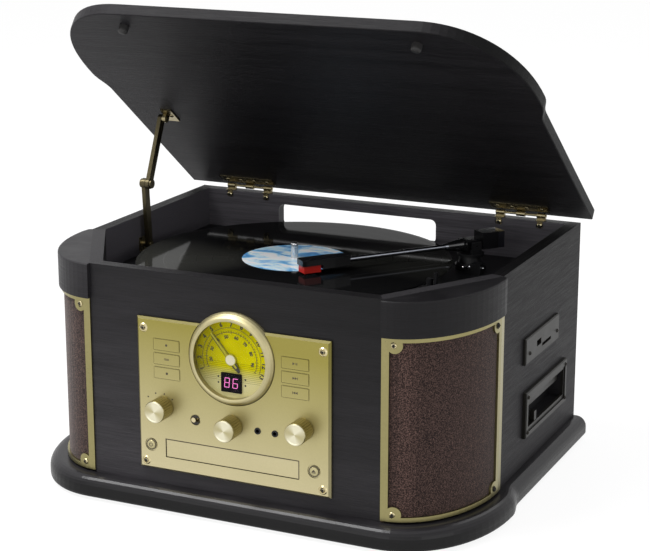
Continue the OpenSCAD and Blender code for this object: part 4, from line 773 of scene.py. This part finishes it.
def screwSlots(node):
    mesh = nodes[node].data
    parts = []
    groups = islands(mesh)
    owner = {i: k for k, group in enumerate(groups) for i in group}
    widest = {}
    for face in mesh.polygons:
        k = owner[face.vertices[0]]
        if k not in widest or face.area > widest[k].area:
            widest[k] = face
    for k, group in enumerate(groups):
        corners = [mesh.vertices[i].co for i in group]
        under = widest[k]
        out = -under.normal
        centre = sum(corners, Vector()) / len(corners)
        top = max(c.dot(out) for c in corners)
        radius = max((c - centre - out * (c - centre).dot(out)).length for c in corners)
        middle = centre + out * (top - centre.dot(out) + slotLook["lift"] * mm)
        first = out.cross(Vector((0, 0, 1)) if abs(out.z) < 0.9 else Vector((1, 0, 0))).normalized()
        second = out.cross(first)
        for u, v in ((first, second), (second, first)):
            arm, wide = u * radius * slotLook["arm"], v * radius * slotLook["width"]
            low = middle - out * slotLook["depth"] * mm
            ends = ((-1, -1), (1, -1), (1, 1), (-1, 1))
            points = [base + a * arm + b * wide for base in (low, middle) for a, b in ends]
            parts.append((points, boxFaces))
    return gather(parts)


# red and white rings round the two line sockets at the back
lineLook = dict(u=(-162.5, -140.5), v=31, outer=6.2, inner=4.4, thick=0.3)
white = moulded("whitePlastic", (0.62, 0.61, 0.58), 0.35)
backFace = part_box("back_panel")[1].y
for u, finish, side in zip(lineLook["u"], (red, white), ("Red", "White")):
    rings = ringOf(u, lineLook["v"], lineLook["outer"], lineLook["inner"])
    addPrint("lineRing" + side, rings, -lineLook["thick"], onFront(backFace), finish, "cabinet", "black_plastic")

addPiece("screwSlots", *screwSlots("screws"), inkAndShade, "cabinet", "brass")
print("dial, display and panel print made")

# plain pale floor and soft studio light
studio = dict(floor=4.0, world=0.5,
              lamps=(("key", (-0.75, -0.6, 1.8), 1.1, 38), ("front", (-0.5, -2.2, 0.6), 1.6, 5),
                     ("side", (1.9, -0.8, 0.5), 1.4, 4), ("rim", (0.2, 1.5, 1.9), 1.6, 9)))


def makeFloor():
    half = studio["floor"]
    mesh = bpy.data.meshes.new("floor")
    corners = [(-half, -half, 0), (half, -half, 0), (half, half, 0), (-half, half, 0)]
    mesh.from_pydata(corners, [], [(0, 1, 2, 3)])
    mesh.materials.append(floorFinish.material)
    floor = bpy.data.objects.new("floor", mesh)
    bpy.context.collection.objects.link(floor)


floorFinish = Finish("paleFloor", base=(0.86, 0.86, 0.86), roughness=0.9)
tree = floorFinish.tree
ways = floorFinish.node("LightPath", output="Is Camera Ray")
mirrorWays = floorFinish.node("LightPath", output="Is Glossy Ray")
glassWays = floorFinish.node("LightPath", output="Is Transmission Ray")
bright = floorFinish.node("Emission", None, {"Color": (1, 1, 1), "Strength": 1.1})
seen = floorFinish.node("Math", {"operation": "MINIMUM"}, {0: ways + mirrorWays + glassWays, 1: 1.0}) * 0.82
both = floorFinish.node("MixShader", None, {0: seen, 1: Signal(tree, floorFinish.shader.outputs[0]), 2: bright})
tree.links.new(both.socket, tree.nodes["Material Output"].inputs[0])
makeFloor()

world = bpy.data.worlds.new("studio")
bpy.context.scene.world = world
world.use_nodes = True
back = world.node_tree.nodes["Background"]
back.inputs[0].default_value = (1, 1, 1, 1)
path = world.node_tree.nodes.new("ShaderNodeLightPath")
ways = [Signal(world.node_tree, path.outputs["Is %s Ray" % kind]) for kind in ("Camera", "Glossy", "Transmission")]
either = ways[0] + ways[1] + ways[2]
strength = either * (1 - studio["world"]) + studio["world"]
connect(world.node_tree, back.inputs[1], strength)

for name, place, size, power in studio["lamps"]:
    lamp = bpy.data.objects.new(name, bpy.data.lights.new(name, "AREA"))
    lamp.data.shape = "DISK"
    lamp.data.size = size
    lamp.data.energy = power
    lamp.location = place
    lamp.rotation_mode = "QUATERNION"
    lamp.rotation_quaternion = (Vector((0, 0, 0.15)) - Vector(place)).to_track_quat("-Z", "Y")
    bpy.context.collection.objects.link(lamp)

bpy.context.scene.view_settings.view_transform = "Standard"
print("studio lit")
